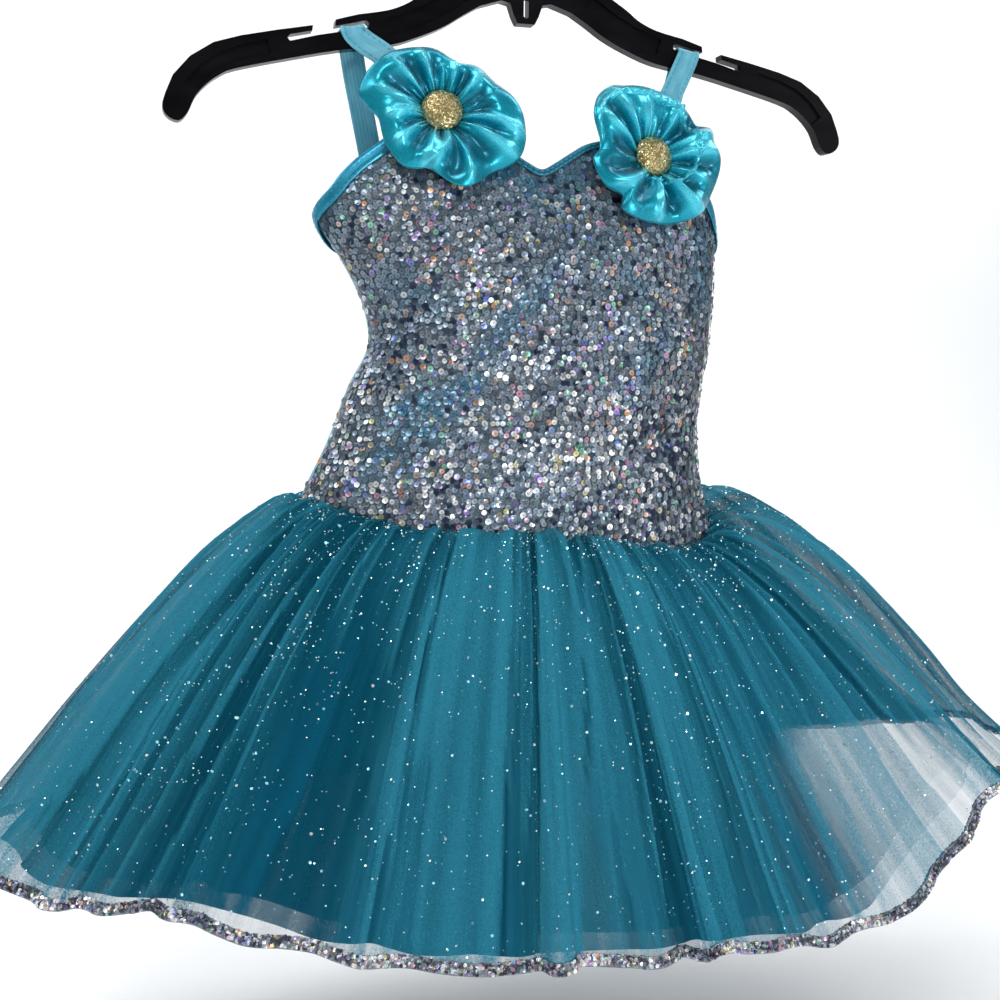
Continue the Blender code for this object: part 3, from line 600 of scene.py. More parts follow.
def grid_mesh(name, rows, closed=False, uvs=None):
    """Mesh of quads through rows of points in millimetres, with texture places if given."""
    columns = len(rows[0])
    points = [tuple(point * MM) for row in rows for point in row]
    mesh = new_mesh(name, points, grid_faces(len(rows), columns, closed))
    if uvs:
        layer = mesh.uv_layers.new(name="cloth")
        for polygon in mesh.polygons:
            for loop in polygon.loop_indices:
                vertex = mesh.loops[loop].vertex_index
                u, v = uvs(vertex % columns, vertex // columns)
                if closed and u == 0 and polygon.vertices[0] % columns == columns - 1:
                    u = uvs(columns, 0)[0]
                layer.data[loop].uv = (u, v)
    return mesh


def grid_faces(row_count, columns, closed=False):
    """Quads of a grid of points, row by row."""
    faces = []
    for r in range(row_count - 1):
        for c in range(columns if closed else columns - 1):
            after = (c + 1) % columns
            faces.append((r * columns + c, (r + 1) * columns + c,
                          (r + 1) * columns + after, r * columns + after))
    return faces


def new_mesh(name, points, faces, colours=None, smooth=True):
    """Mesh of points in metres, with a colour for each point if given."""
    mesh = bpy.data.meshes.new(name)
    mesh.from_pydata(points, [], faces)
    if smooth:
        mesh.shade_smooth()
    if colours:
        layer = mesh.color_attributes.new("tint", "FLOAT_COLOR", "POINT")
        layer.data.foreach_set("color", [part for tint in colours for part in tint])
    return mesh


def add_number(mesh, name, values):
    """Number for each point of a mesh, for its material to read."""
    layer = mesh.attributes.new(name, "FLOAT", "POINT")
    layer.data.foreach_set("value", values)


def new_object(name, data):
    """Object of a mesh, curve, light or camera, linked to the scene."""
    obj = bpy.data.objects.new(name, data)
    bpy.context.scene.collection.objects.link(obj)
    return obj


def evaluated_mesh(obj):
    """Mesh of an object as its modifiers leave it."""
    bpy.context.view_layer.update()
    graph = bpy.context.evaluated_depsgraph_get()
    return bpy.data.meshes.new_from_object(obj.evaluated_get(graph))


def add_piece(name, mesh, material, slot, *nodes):
    """Object of a mesh that rides on the body and stands for the named solids."""
    obj = new_object(name, mesh)
    mesh.materials.append(material)
    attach(obj, "root")
    if nodes:
        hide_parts(*nodes)
    return obj


def thicken(obj, thickness, offset):
    """Cloth given its thickness, which stays a modifier."""
    wall = obj.modifiers.new("cloth", "SOLIDIFY")
    wall.thickness = thickness * MM
    wall.offset = offset


class DiscField:
    """Many small discs in one mesh, each with its own tilt and colour."""

    def __init__(self, rings, eye, sides):
        self.rings = rings
        self.eye = eye
        self.sides = sides
        self.points = []
        self.faces = []
        self.colours = []

    def add(self, centre, axis, radius, colour, spin=0.0):
        """One disc about an axis.

        Each ring has a share of the radius, a rise and a shade, and the eye the last two.
        """
        across = axis.orthogonal().normalized()
        beside = axis.cross(across)
        start = len(self.points)
        for reach, rise, shade in self.rings:
            tint = (*(part * shade for part in colour), 1.0)
            for side in range(self.sides):
                turn = spin + 2 * math.pi * side / self.sides
                flat = across * math.cos(turn) + beside * math.sin(turn)
                self.points.append((centre + flat * (radius * reach)
                                    + axis * (radius * rise)) * MM)
                self.colours.append(tint)
        eye_rise, eye_shade = self.eye
        middle = len(self.points)
        self.points.append((centre + axis * (radius * eye_rise)) * MM)
        self.colours.append((*(part * eye_shade for part in colour), 1.0))
        for low in range(start, middle, self.sides):
            for side in range(self.sides):
                here, after = low + side, low + (side + 1) % self.sides
                if low + self.sides < middle:
                    self.faces.append((here, after, after + self.sides, here + self.sides))
                else:
                    self.faces.append((here, after, middle))

    def build(self, name, material, slot, *nodes):
        """Piece that holds all the discs."""
        mesh = new_mesh(name, self.points, self.faces, self.colours)
        return add_piece(name, mesh, material, slot, *nodes)


def tilted(axis, rng, most):
    """Axis leaned at random by up to so many degrees."""
    lean = math.radians(most) * math.sqrt(rng.random())
    across = axis.orthogonal().normalized()
    across.rotate(Matrix.Rotation(rng.uniform(0, 2 * math.pi), 3, axis))
    return (axis * math.cos(lean) + across * math.sin(lean)).normalized()


def stitch_line(points, normals):
    """Points and faces of a run of stitches laid on a surface along a line."""
    vertices, faces = [], []
    travelled, next_start = 0.0, STITCH_GAP
    for index in range(len(points) - 1):
        step = points[index + 1] - points[index]
        size = step.length
        if size < 1e-6:
            continue
        while next_start < travelled + size:
            share = (next_start - travelled) / size
            centre = points[index] + step * share
            normal = normals[index]
            along = step / size
            side = along.cross(normal).normalized()
            base = len(vertices)
            for place, rise, wide in ((-0.5, -0.2, 0.5), (-0.3, 0.8, 1.0), (0.3, 0.8, 1.0),
                                      (0.5, -0.2, 0.5)):
                middle = centre + along * (STITCH_LENGTH * place)
                middle += normal * (STITCH_RADIUS * rise)
                for across, up in ((-1, 0), (0, 0.7), (1, 0)):
                    vertices.append((middle + side * (STITCH_RADIUS * wide * across)
                                     + normal * (STITCH_RADIUS * up)) * MM)
            for ring in range(3):
                for part in range(2):
                    low = base + ring * 3 + part
                    faces.append((low, low + 3, low + 4, low + 1))
            next_start += STITCH_LENGTH + STITCH_GAP
        travelled += size
    return vertices, faces


def add_stitches(name, frames, offsets, stand, slot):
    """Piece of all the stitches on lines set off across a run of frames."""
    vertices, faces = [], []
    for offset in offsets:
        points = [place + across * offset + outward * stand
                  for place, across, outward in frames]
        more, quads = stitch_line(points, [outward for _, _, outward in frames])
        base = len(vertices)
        vertices += more
        faces += [tuple(base + place for place in face) for face in quads]
    return add_piece(name, new_mesh(name, vertices, faces), THREAD_LOOK, slot)


# Materials

class Look:
    """Principled material with short ways to add and join nodes."""

    def __init__(self, name, colour, roughness, metallic=0.0, **constants):
        self.material = bpy.data.materials.new(name)
        self.material.use_nodes = True
        self.tree = self.material.node_tree
        self.shader = self.tree.nodes["Principled BSDF"]
        self.set("Base Color", (*colour, 1.0))
        self.set("Roughness", roughness)
        self.set("Metallic", metallic)
        for socket, value in constants.items():
            self.set(socket.replace("_", " ").title().replace("Ior", "IOR"), value)

    def set(self, socket, value):
        """Constant on one of the shader's sockets."""
        self.shader.inputs[socket].default_value = value

    def node(self, kind, inputs=None, **settings):
        """New node with its settings and constant inputs."""
        node = self.tree.nodes.new(kind)
        for name, value in settings.items():
            setattr(node, name, value)
        for name, value in (inputs or {}).items():
            node.inputs[name].default_value = value
        return node

    def join(self, source, target):
        """Link from an output to an input."""
        self.tree.links.new(source, target)

    def place(self, kind="Object"):
        """Texture place in the piece's own metres, or its cloth places."""
        return self.node("ShaderNodeTexCoord").outputs[kind]

    def maths(self, operation, first, second=0.0, clamp=False):
        """Output of an operation on two numbers or outputs."""
        node = self.node("ShaderNodeMath", operation=operation, use_clamp=clamp)
        for slot, value in enumerate((first, second)):
            if isinstance(value, (int, float)):
                node.inputs[slot].default_value = value
            else:
                self.join(value, node.inputs[slot])
        return node.outputs[0]

    def blend(self, first, first_share, second, second_share):
        """Sum of two outputs, each times its share."""
        return self.maths("ADD", self.maths("MULTIPLY", first, first_share),
                          self.maths("MULTIPLY", second, second_share))

    def stretch(self, source, scale):
        """Texture place scaled by its own amount along each axis."""
        mapping = self.node("ShaderNodeMapping", {"Scale": scale})
        self.join(source, mapping.inputs["Vector"])
        return mapping.outputs["Vector"]

    def noise(self, source, scale, detail=2.0):
        """Value of a noise texture."""
        node = self.node("ShaderNodeTexNoise", {"Scale": scale, "Detail": detail})
        self.join(source, node.inputs["Vector"])
        return node.outputs["Fac"]

    def ramp(self, source, stops):
        """Colour that runs through stops as a value runs from 0 to 1."""
        node = self.node("ShaderNodeValToRGB")
        elements = node.color_ramp.elements
        while len(elements) < len(stops):
            elements.new(0.5)
        for element, (at, colour) in zip(elements, stops):
            element.position = at
            element.color = (*colour, 1.0)
        self.join(source, node.inputs["Fac"])
        return node.outputs["Color"]

    def attribute(self, name):
        """Number that the piece's mesh carries at each point."""
        return self.node("ShaderNodeAttribute", attribute_name=name).outputs["Fac"]

    def paint(self, source, *stops):
        """Colour of the surface, from a value."""
        self.join(self.ramp(source, stops), self.shader.inputs["Base Color"])

    def roughen(self, source, low, high):
        """Roughness between two limits, from a value."""
        self.join(self.spread(source, low, high), self.shader.inputs["Roughness"])

    def bump(self, source, strength, distance):
        """Relief from a value, with its depth in millimetres."""
        node = self.node("ShaderNodeBump", {"Strength": strength, "Distance": distance * MM})
        self.join(source, node.inputs["Height"])
        self.join(node.outputs["Normal"], self.shader.inputs["Normal"])

    def spread(self, source, low, high):
        """Value between two limits as another runs from 0 to 1."""
        return self.maths("ADD", self.maths("MULTIPLY", source, high - low), low)


def make_tulle_material(name, plain, pleated, cover, net, uneven):
    """See-through net whose cover grows where its cloth is bunched."""
    look = Look(name, plain, 0.8, sheen_weight=0.03, sheen_roughness=0.5)
    look.set("Sheen Tint", (0.2, 0.75, 1.0, 1.0))
    look.set("Specular IOR Level", 0.03)
    cloth = look.place("UV")
    streak = look.noise(look.stretch(cloth, (1.0, 0.012, 1.0)), 0.22, 1.0)
    fine = look.noise(look.stretch(cloth, (1.0, 0.03, 1.0)), 1.1, 0.0)
    both = look.blend(streak, 0.65, fine, 0.35)
    shade = look.blend(look.attribute("pleats"), 0.8, both, 0.4)
    look.paint(shade, (0.14, plain), (0.8, pleated))
    layers = look.maths("MULTIPLY", look.attribute("closeness"),
                        look.spread(both, 0.5, 1.5))
    seen = look.maths("POWER", 1.0 - cover, layers)
    grain = look.spread(look.noise(look.place(), 1.0 / (net * MM), 0.0), *uneven)
    alpha = look.maths("MULTIPLY", look.maths("SUBTRACT", 1.0, seen), grain, clamp=True)
    look.join(alpha, look.shader.inputs["Alpha"])
    return look.material


def make_satin_material(name, colours, roughness, metallic, paint_crests=False):
    """Glossy satin with a fine weave; where its piece carries crest values, painted highlights
    along crests and painted shade in the valleys.
    """
    look = Look(name, colours[-1], roughness, metallic, sheen_weight=0.2,
                sheen_roughness=0.35)
    place = look.place()
    cloud = look.noise(place, 60.0, 3.0)
    tone = cloud
    if paint_crests:
        tone = look.blend(look.attribute("painted_crest_light"), 0.8, cloud, 0.2)
    stops = [(0.3 + 0.4 * index / (len(colours) - 1), colour)
             for index, colour in enumerate(colours)]
    look.paint(tone, *stops)
    look.roughen(look.noise(place, 900.0), roughness - 0.05, roughness + 0.07)
    weave = look.node("ShaderNodeTexWave", {"Scale": 700.0, "Distortion": 1.5})
    look.join(place, weave.inputs["Vector"])
    look.bump(weave.outputs["Fac"], 0.12, 0.03)
    return look.material


def make_spandex_material(name, deep, light):
    """Stretch knit with a soft shine."""
    look = Look(name, deep, 0.42, 0.1, sheen_weight=0.4, sheen_roughness=0.4)
    place = look.place()
    cloud = look.noise(place, 35.0, 4.0)
    look.paint(cloud, (0.35, deep), (0.7, light))
    knit = look.node("ShaderNodeTexVoronoi", {"Scale": 1400.0})
    look.join(look.stretch(place, (1.0, 1.0, 0.6)), knit.inputs["Vector"])
    look.roughen(knit.outputs["Distance"], 0.34, 0.55)
    look.bump(knit.outputs["Distance"], 0.4, 0.08)
    return look.material


def make_strap_material():
    """Satin elastic with ribs along it."""
    deep, light = (0.06, 0.32, 0.44), (0.17, 0.50, 0.64)
    look = Look("strap_satin", light, 0.38, 0.15, sheen_weight=0.3, sheen_roughness=0.4)
    cloth = look.place("UV")
    ribs = look.node("ShaderNodeTexWave", {"Scale": 0.5, "Distortion": 0.4})
    look.join(cloth, ribs.inputs["Vector"])
    cloud = look.noise(look.stretch(cloth, (1.0, 0.15, 1.0)), 0.5, 3.0)
    look.paint(look.blend(ribs.outputs["Fac"], 0.2, cloud, 0.8), (0.25, deep), (0.65, light))
    look.roughen(cloud, 0.3, 0.5)
    look.bump(ribs.outputs["Fac"], 0.3, 0.08)
    return look.material


def make_sequin_material(name, roughness, metallic):
    """Foil disc that takes its own colour from its points."""
    look = Look(name, (0.7, 0.75, 0.8), roughness, metallic, coat_weight=0.4,
                coat_roughness=0.08)
    tint = look.node("ShaderNodeAttribute", attribute_name="tint")
    look.join(tint.outputs["Color"], look.shader.inputs["Base Color"])
    scuff = look.noise(look.place(), 2500.0, 2.0)
    look.roughen(scuff, max(0.03, roughness - 0.08), roughness + 0.1)
    look.bump(scuff, 0.15, 0.04)
    return look.material


def make_base_cloth_material():
    """Teal stretch knit under the sequins, its own teal painted dark as shade between and under
    the discs.
    """
    deep, light = (0.02, 0.06, 0.09), (0.10, 0.17, 0.22)
    look = Look("sequin_base", deep, 0.5, 0.1, sheen_weight=0.3, sheen_roughness=0.4)
    place = look.place()
    cloud = look.noise(place, 400.0, 3.0)
    look.paint(cloud, (0.3, deep), (0.7, light))
    knit = look.node("ShaderNodeTexVoronoi", {"Scale": 1100.0})
    look.join(place, knit.inputs["Vector"])
    look.bump(knit.outputs["Distance"], 0.5, 0.1)
    return look.material


def make_plastic_material():
    """Glossy black moulding with faint flow marks."""
    look = Look("black_plastic", (0.004, 0.004, 0.005), 0.25)
    look.set("Specular IOR Level", 0.07)
    place = look.place()
    flow = look.noise(look.stretch(place, (0.3, 1.0, 1.0)), 90.0, 4.0)
    look.roughen(flow, 0.14, 0.34)
    look.paint(flow, (0.3, (0.003, 0.003, 0.004)), (0.8, (0.008, 0.008, 0.010)))
    look.bump(look.noise(place, 500.0, 3.0), 0.12, 0.05)
    return look.material


def make_steel_material():
    """Bright wire with fine drawing marks."""
    look = Look("steel_wire", (0.6, 0.6, 0.62), 0.22, 1.0)
    place = look.place()
    marks = look.noise(look.stretch(place, (1.0, 1.0, 0.15)), 1500.0, 3.0)
    look.roughen(marks, 0.15, 0.36)
    look.bump(marks, 0.1, 0.02)
    return look.material


def make_thread_material():
    """Turquoise sewing thread."""
    deep, light = (0.01, 0.20, 0.30), (0.05, 0.38, 0.52)
    look = Look("thread", light, 0.55, sheen_weight=0.3, sheen_roughness=0.5)
    twist = look.noise(look.place(), 3000.0)
    look.paint(twist, (0.3, deep), (0.7, light))
    return look.material


def make_backdrop_material():
    """Plain pale paper."""
    look = Look("paper", (0.86, 0.87, 0.88), 0.9)
    cloud = look.noise(look.place(), 3.0, 3.0)
    look.paint(cloud, (0.3, (0.85, 0.86, 0.87)), (0.7, (0.88, 0.885, 0.89)))
    return look.material


OUTER_TULLE = make_tulle_material("tulle_outer", (0.002, 0.07, 0.115), (0.022, 0.185, 0.27),
                                  0.27, 0.8, (0.72, 1.28))
INNER_TULLE = make_tulle_material("tulle_inner", (0.001, 0.075, 0.135), (0.003, 0.11, 0.20),
                                  0.78, 0.8, (0.95, 1.1))
# Satin colours run from painted shade in the valleys to painted highlights on the crests
SATIN_LOOK = make_satin_material(
    "satin", ((0.0, 0.15, 0.23), (0.0, 0.27, 0.38), (0.004, 0.36, 0.48), (0.08, 0.62, 0.78)),
    0.26, 0.5, paint_crests=True)
BINDING_LOOK = make_satin_material("binding", ((0.002, 0.18, 0.31), (0.03, 0.34, 0.48)),
                                   0.30, 0.5)
# Darker copy of the binding satin for the neck binding: painted shade
SHADED_NECK_BINDING_LOOK = make_satin_material("neck_binding", ((0.0, 0.09, 0.16), (0.01, 0.18, 0.27)),
                                        0.36, 0.3)
SEQUIN_TAPE_LOOK = make_satin_material("trim_tape", ((0.12, 0.14, 0.18), (0.34, 0.38, 0.44)),
                                       0.35, 0.5)
SPANDEX_LOOK = make_spandex_material("spandex", (0.002, 0.26, 0.36), (0.01, 0.36, 0.46))
STRAP_LOOK = make_strap_material()
SEQUIN_LOOK = make_sequin_material("sequin_foil", 0.36, 0.62)
GLITTER_LOOK = make_sequin_material("glitter", 0.25, 0.7)
GOLD_LOOK = make_sequin_material("gold_glitter", 0.32, 0.85)
BASE_LOOK = make_base_cloth_material()
PLASTIC_LOOK = make_plastic_material()
STEEL_LOOK = make_steel_material()
THREAD_LOOK = make_thread_material()


# Camera, light and backdrop

def look_at(location, target):
    """Matrix that puts a light or camera at a place and turns it to another."""
    away = Vector(target) - Vector(location)
    return Matrix.Translation(location) @ away.to_track_quat("-Z", "Y").to_matrix().to_4x4()


def make_camera():
    """Camera at the photograph's viewing angle."""
    data = bpy.data.cameras.new("camera")
    data.sensor_width = 36.0
    data.lens = CAMERA_LENS
    data.clip_start = 0.02
    camera = new_object("camera", data)
    camera.matrix_world = (Matrix.Translation(CAMERA_PLACE)
                           @ Matrix.Rotation(math.radians(CAMERA_TURN), 4, "Z")
                           @ Matrix.Rotation(math.radians(CAMERA_TILT), 4, "X")
                           @ Matrix.Rotation(math.radians(CAMERA_ROLL), 4, "Z"))
    bpy.context.scene.camera = camera


def make_light(name, location, target, size, power, colour):
    """Square soft light."""
    data = bpy.data.lights.new(name, "AREA")
    data.size = size
    data.energy = power
    data.color = colour
    new_object(name, data).matrix_world = look_at(location, target)


def make_backdrop():
    """Pale floor that curves up into a wall behind."""
    steps = 16
    profile = [(-BACKDROP_REACH, FLOOR_HEIGHT), (-BACKDROP_REACH / 2, FLOOR_HEIGHT),
               (0.0, FLOOR_HEIGHT)]
    for step in range(steps + 1):
        turn = math.pi / 2 * step / steps
        profile.append((WALL_DISTANCE - WALL_CURVE + WALL_CURVE * math.sin(turn),
                        FLOOR_HEIGHT + WALL_CURVE - WALL_CURVE * math.cos(turn)))
    profile.append((WALL_DISTANCE, WALL_TOP))
    rows = [[Vector((x, y, z)) for x in (-BACKDROP_REACH, 0.0, BACKDROP_REACH)]
            for y, z in profile]
    mesh = grid_mesh("backdrop", rows)
    mesh.materials.append(make_backdrop_material())
    backdrop = new_object("backdrop", mesh)


def make_stage():
    """Camera, lights, sky and backdrop."""
    make_camera()
    for light in LIGHTS:
        make_light(*light)
    world = bpy.data.worlds.new("world")
    world.use_nodes = True
    sky = world.node_tree.nodes["Background"]
    sky.inputs["Color"].default_value = SKY_COLOUR
    sky.inputs["Strength"].default_value = SKY_STRENGTH
    bpy.context.scene.world = world
    bpy.context.scene.view_settings.view_transform = "Standard"
    cycles = bpy.context.scene.cycles
    cycles.transparent_max_bounces = 24
    cycles.max_bounces = 6
    cycles.diffuse_bounces = 3
    cycles.glossy_bounces = 3
    make_backdrop()


# Skirt

def make_waves(seed, count, fewest, most):
    """Waves round the body of uneven length: times round, phase, drift, size."""
    rng = random.Random(seed)
    return [(rng.randint(fewest, most), rng.uniform(0, 2 * math.pi),
             rng.uniform(-2.5, 2.5), rng.uniform(0.5, 1.0)) for _ in range(count)]


def wave_sum(waves, turn, share):
    """Height of the waves together at a turn round the body and a share of the way down."""
    total = sum(size * math.sin(times * turn + phase + drift * share)
                for times, phase, drift, size in waves)
    return total / math.sqrt(len(waves))


def pleat_layers(seed, count, columns, rows):
    """Further layers of cloth at each point, where long pleats lie folded on it."""
    rng = random.Random(seed)
    layers = [[0.0] * columns for _ in range(rows)]
    for _ in range(count):
        turn, drift = rng.uniform(0, columns), rng.gauss(0, 0.012) * columns
        start = 0.0 if rng.random() < 0.45 else rng.uniform(0.03, 0.55)
        finish = 1.4 if rng.random() < 0.6 else rng.uniform(0.55, 1.1)
        width = rng.uniform(0.2, 1.0) ** 1.5 * PLEAT_WIDEST * columns
        side = rng.choice((-1, 1))
        depth = rng.uniform(0.35, 1.2)
        for r in range(rows):
            share = r / (rows - 1)
            if not start < share < finish:
                continue
            grown = min(1.0, (share - start) / 0.5, (finish - share) / 0.3)
            here = width * (0.25 + 0.75 * grown if start == 0.0 else grown)
            edge = turn + drift * share
            for step in range(int(here) + 1):
                across = (step + 0.5) / (here + 1)
                place = int(edge + side * step) % columns
                crisp = PLEAT_EDGE if step < 2 else 0.0
                layers[r][place] += depth * min(1.0, 4 * grown) * ((1 - across) ** 0.7 + crisp)
    return layers


def tulle_rows(profile, folds, wave, seed, shares, layers):
    """Fine grid of a gathered layer, with small gathers that fade down from the waist."""
    angles = even_angles(folds * POINTS_PER_FOLD)
    heights = [wave * fold_wave(column, seed) for column in range(len(angles))]
    coarse = [[skirt_point(angle, row, height, shares)
               for angle, height in zip(angles, heights)] for row in profile]
    rows = refine_grid(coarse, FINE_ACROSS, FINE_DOWN, closed=True)
    normals = grid_normals(rows, closed=True)
    gathers = make_waves(int(seed * 10), 14, 60, 125)
    ripples = make_waves(int(seed * 10) + 1, 8, 22, 48)
    columns, last = len(rows[0]), len(rows) - 1
    for r, row in enumerate(rows):
        share = r / last
        near = min(1.0, share * 9) * (0.18 + 0.82 * (1 - share) ** 1.4)
        middle = math.sin(math.pi * min(1.0, share * 1.15))
        for c in range(columns):
            turn = 2 * math.pi * c / columns
            lift = GATHER_RISE * near * wave_sum(gathers, turn, share)
            lift += RIPPLE_RISE * middle * wave_sum(ripples, turn, share)
            lift += PLEAT_RISE * min(1.0, share * 9) * min(layers[r][c], 2.5)
            row[c] = row[c] + normals[r][c] * lift
    return rows


def unwrapped(angles):
    """Angles that keep rising past a full turn, with the first one again at the end."""
    rising = [angles[0]]
    for angle in angles[1:] + angles[:1]:
        rising.append(rising[-1] + (angle - rising[-1]) % 360)
    return rising


def fullness(angle, share, table, thin):
    """How closely a layer is gathered at an angle and a share of the way down."""
    full = smooth_value(table, wrap_angle(angle))
    if thin:
        middle, half, start, loss = thin
        near = max(0.0, 1 - (wrap_angle(angle - middle) / half) ** 2)
        full *= 1 - loss * near * min(1.0, max(0.0, share - start) / 0.2)
    return full


def add_tulle(name, rows, layers, cut_top, cut_hem, material, seed, node):
    """Layer of tulle with the closeness of its gathers kept at each point."""
    columns, last = len(rows[0]), len(rows) - 1
    lengths = [0.0]
    for upper, lower in zip(rows, rows[1:]):
        lengths.append(lengths[-1] + (lower[0] - upper[0]).length)

    def cloth_place(column, row):
        return cut_hem * column / columns, lengths[row]

    mesh = grid_mesh(name, rows, closed=True, uvs=cloth_place)
    streaks = make_waves(seed, 18, 18, 130)
    angles = refine(unwrapped(even_angles(columns // FINE_ACROSS)), FINE_ACROSS)
    outer = name == "outer_tulle"
    table, thin = (OUTER_FULLNESS, None) if outer else (INNER_FULLNESS, INNER_THIN)
    values = []
    for r, row in enumerate(rows):
        width = (cut_top + (cut_hem - cut_top) * r / last) / columns
        for c in range(columns):
            spacing = (row[(c + 1) % columns] - row[c - 1]).length / 2
            streak = 1 + 0.25 * wave_sum(streaks, 2 * math.pi * c / columns, r / last)
            close = max(0.9, width / max(spacing, 0.2) * max(0.5, streak))
            close *= fullness(angles[c], r / last, table, thin)
            values.append(close * (0.7 + layers[r][c] if outer else 0.95 + 0.4 * layers[r][c]))
    add_number(mesh, "closeness", values)
    most = 2.6 if outer else 1.6
    add_number(mesh, "pleats", [min(1.0, value / most) for line in layers for value in line])
    return add_piece(name, mesh, material, "tulle", node)


def sequin_colour(rng, rainbow=0.14, painted_flash=0.1, teal_and_shade=0.0):
    """Colour of one foil disc: mostly grey silver, some with a rainbow tint, some painted white
    as a flash (a painted highlight), mixed towards the sea colour (partly painted shade).
    """
    pick = rng.random()
    if pick < rainbow:
        colour = rng.choice(RAINBOW_COLOURS)
        mix, level = rng.uniform(0.3, 0.9), rng.uniform(0.45, 1.0)
        base = [level * (0.6 * (1 - mix) + part * mix) for part in colour]
    elif pick < rainbow + painted_flash:
        level = rng.uniform(0.8, 1.0)
        base = [level, level, level]
    else:
        level = rng.choice(SILVER_LEVELS) * rng.uniform(0.85, 1.2)
        warm = rng.uniform(-0.06, 0.08)
        base = [level * (0.70 + warm), level * 0.84, level * (1.03 - warm)]
    return tuple(part * (1 - teal_and_shade) + deep * teal_and_shade for part, deep in zip(base, SEA_COLOUR))


def make_hem_trim(rows):
    """Tape of sequin trim folded over the outer layer's hem."""
    hem, above = rows[-1], rows[-2]
    fold = ((TRIM_HEIGHT, 0.3), (0.1, 0.35), (-0.35, 0.0), (0.1, -0.35), (TRIM_HEIGHT, -0.3))
    tape_rows = [[] for _ in fold]
    spots = DiscField(((1.0, 0.12, 1.0),), (-0.05, 0.6), 7)
    clusters = make_waves(43, 7, 9, 60)
    rng = random.Random(41)
    travelled, next_spot = 0.0, 0.0
    for index, (low, high) in enumerate(zip(hem, above)):
        side = hem[(index + 1) % len(hem)] - hem[index - 1]
        rise = (high - low).normalized()
        outward = side.cross(rise).normalized()
        for line, (height, out) in zip(tape_rows, fold):
            line.append(low + rise * height + outward * out)
        step = hem[(index + 1) % len(hem)] - low
        while next_spot < travelled + step.length:
            centre = low + step * ((next_spot - travelled) / step.length)
            # Slow waves along the hem: where high, more discs painted white as painted
            # highlights; where low, more painted dark as painted shade
            sparkle_paint = 0.5 + 0.5 * wave_sum(clusters, 2 * math.pi * index / len(hem), 0)
            for height in TRIM_ROWS:
                for face in (1, -1):
                    spot = (centre + rise * (height + rng.uniform(-0.35, 0.35))
                            + outward * face * (0.75 + rng.uniform(0, 0.35))
                            + step.normalized() * rng.uniform(-0.3, 0.3))
                    colour = sequin_colour(rng, 0.28, max(0.05, 0.75 * sparkle_paint * sparkle_paint))
                    if rng.random() > 0.25 + 0.85 * sparkle_paint:
                        colour = PAINTED_DARK_TRIM
                    spots.add(spot, tilted(outward * face, rng, 34), TRIM_SEQUIN_RADIUS,
                              colour, rng.uniform(0, 3))
            next_spot += TRIM_PITCH
        travelled += step.length
    mesh = grid_mesh("hem_trim_tape", tape_rows, closed=True)
    tape = add_piece("hem_trim_tape", mesh, SEQUIN_TAPE_LOOK, "sequin_trim", "hem_trim")
    thicken(tape, 0.3, 1.0)
    discs = spots.build("hem_sequins", SEQUIN_LOOK, "sequin_trim", "hem_trim")


def make_skirt():
    """Glitter tulle over two plain inner layers, with trim on the hem."""
    lining_profile = [(out, down, side - 0.35, up - 0.4, wave)
                      for out, down, side, up, wave in INNER_PROFILE]
    kinds = (("outer_tulle", OUTER_PROFILE, OUTER_FOLDS, 4.8, 0.7, OUTER_SHARES, 190,
              (1900, 2700), OUTER_TULLE, "skirt_outer"),
             ("inner_tulle", INNER_PROFILE, INNER_FOLDS, 3.8, 2.9, INNER_SHARES, 110,
              (1500, 1900), INNER_TULLE, "skirt_inner"),
             ("lining_tulle", lining_profile, INNER_FOLDS - 3, 3.4, 5.3, LINING_SHARES, 60,
              (1400, 1750), INNER_TULLE, "skirt_inner"))
    for name, profile, folds, wave, seed, shares, pleats, cut, material, node in kinds:
        columns = folds * POINTS_PER_FOLD * FINE_ACROSS
        row_count = (len(profile) - 1) * FINE_DOWN + 1
        layers = pleat_layers(int(seed * 100), pleats, columns, row_count)
        rows = tulle_rows(profile, folds, wave, seed, shares, layers)
        layer = add_tulle(name, rows, layers, *cut, material, int(seed * 30), node)
        if name == "outer_tulle":
            dots = make_glitter(rows)
            make_hem_trim(rows)


def make_glitter(rows):
    """Glitter dots scattered over the outer layer, many of them in loose clusters."""
    rng = random.Random(7)
    normals = grid_normals(rows, closed=True)
    columns, last = len(rows[0]), len(rows) - 1
    dots = DiscField(((1.0, 0.0, 1.0),), (0.12, 1.0), 6)
    cluster = (0.0, 0.0)
    for index in range(GLITTER_DOTS):
        if index % 9 == 0:
            cluster = (rng.uniform(2, last - 1), rng.uniform(0, columns))
        if index % 3 == 0:
            place, turn = rng.uniform(1.5, last - 0.5), rng.uniform(0, columns)
        else:
            place = min(last - 0.5, max(1.5, cluster[0] + rng.gauss(0, 1.1)))
            turn = cluster[1] + rng.gauss(0, 9)
        r, c = int(place), int(turn) % columns
        n = (c + 1) % columns
        upper = rows[r][c].lerp(rows[r][n], turn % 1)
        lower = rows[r + 1][c].lerp(rows[r + 1][n], turn % 1)
        normal = normals[r][c] * (1 if rng.random() < 0.8 else -1)
        spot = upper.lerp(lower, place - r) + normal * 0.3
        colour = rng.choice(GLITTER_COLOURS)
        size = rng.uniform(0.26, 0.46) if rng.random() < 0.88 else rng.uniform(0.5, 0.85)
        dots.add(spot, tilted(normal, rng, 42), size, colour)
    return dots.build("tulle_glitter", GLITTER_LOOK, "tulle", "skirt_outer")


# Bodice and brief

def fine_columns(places, parts):
    """Angle, top and bottom of fine columns through places of a panel's top edge."""
    return [(place.x, place.y, smooth_value(WAIST_LINE, wrap_angle(place.x)))
            for place in refine(places, parts)]


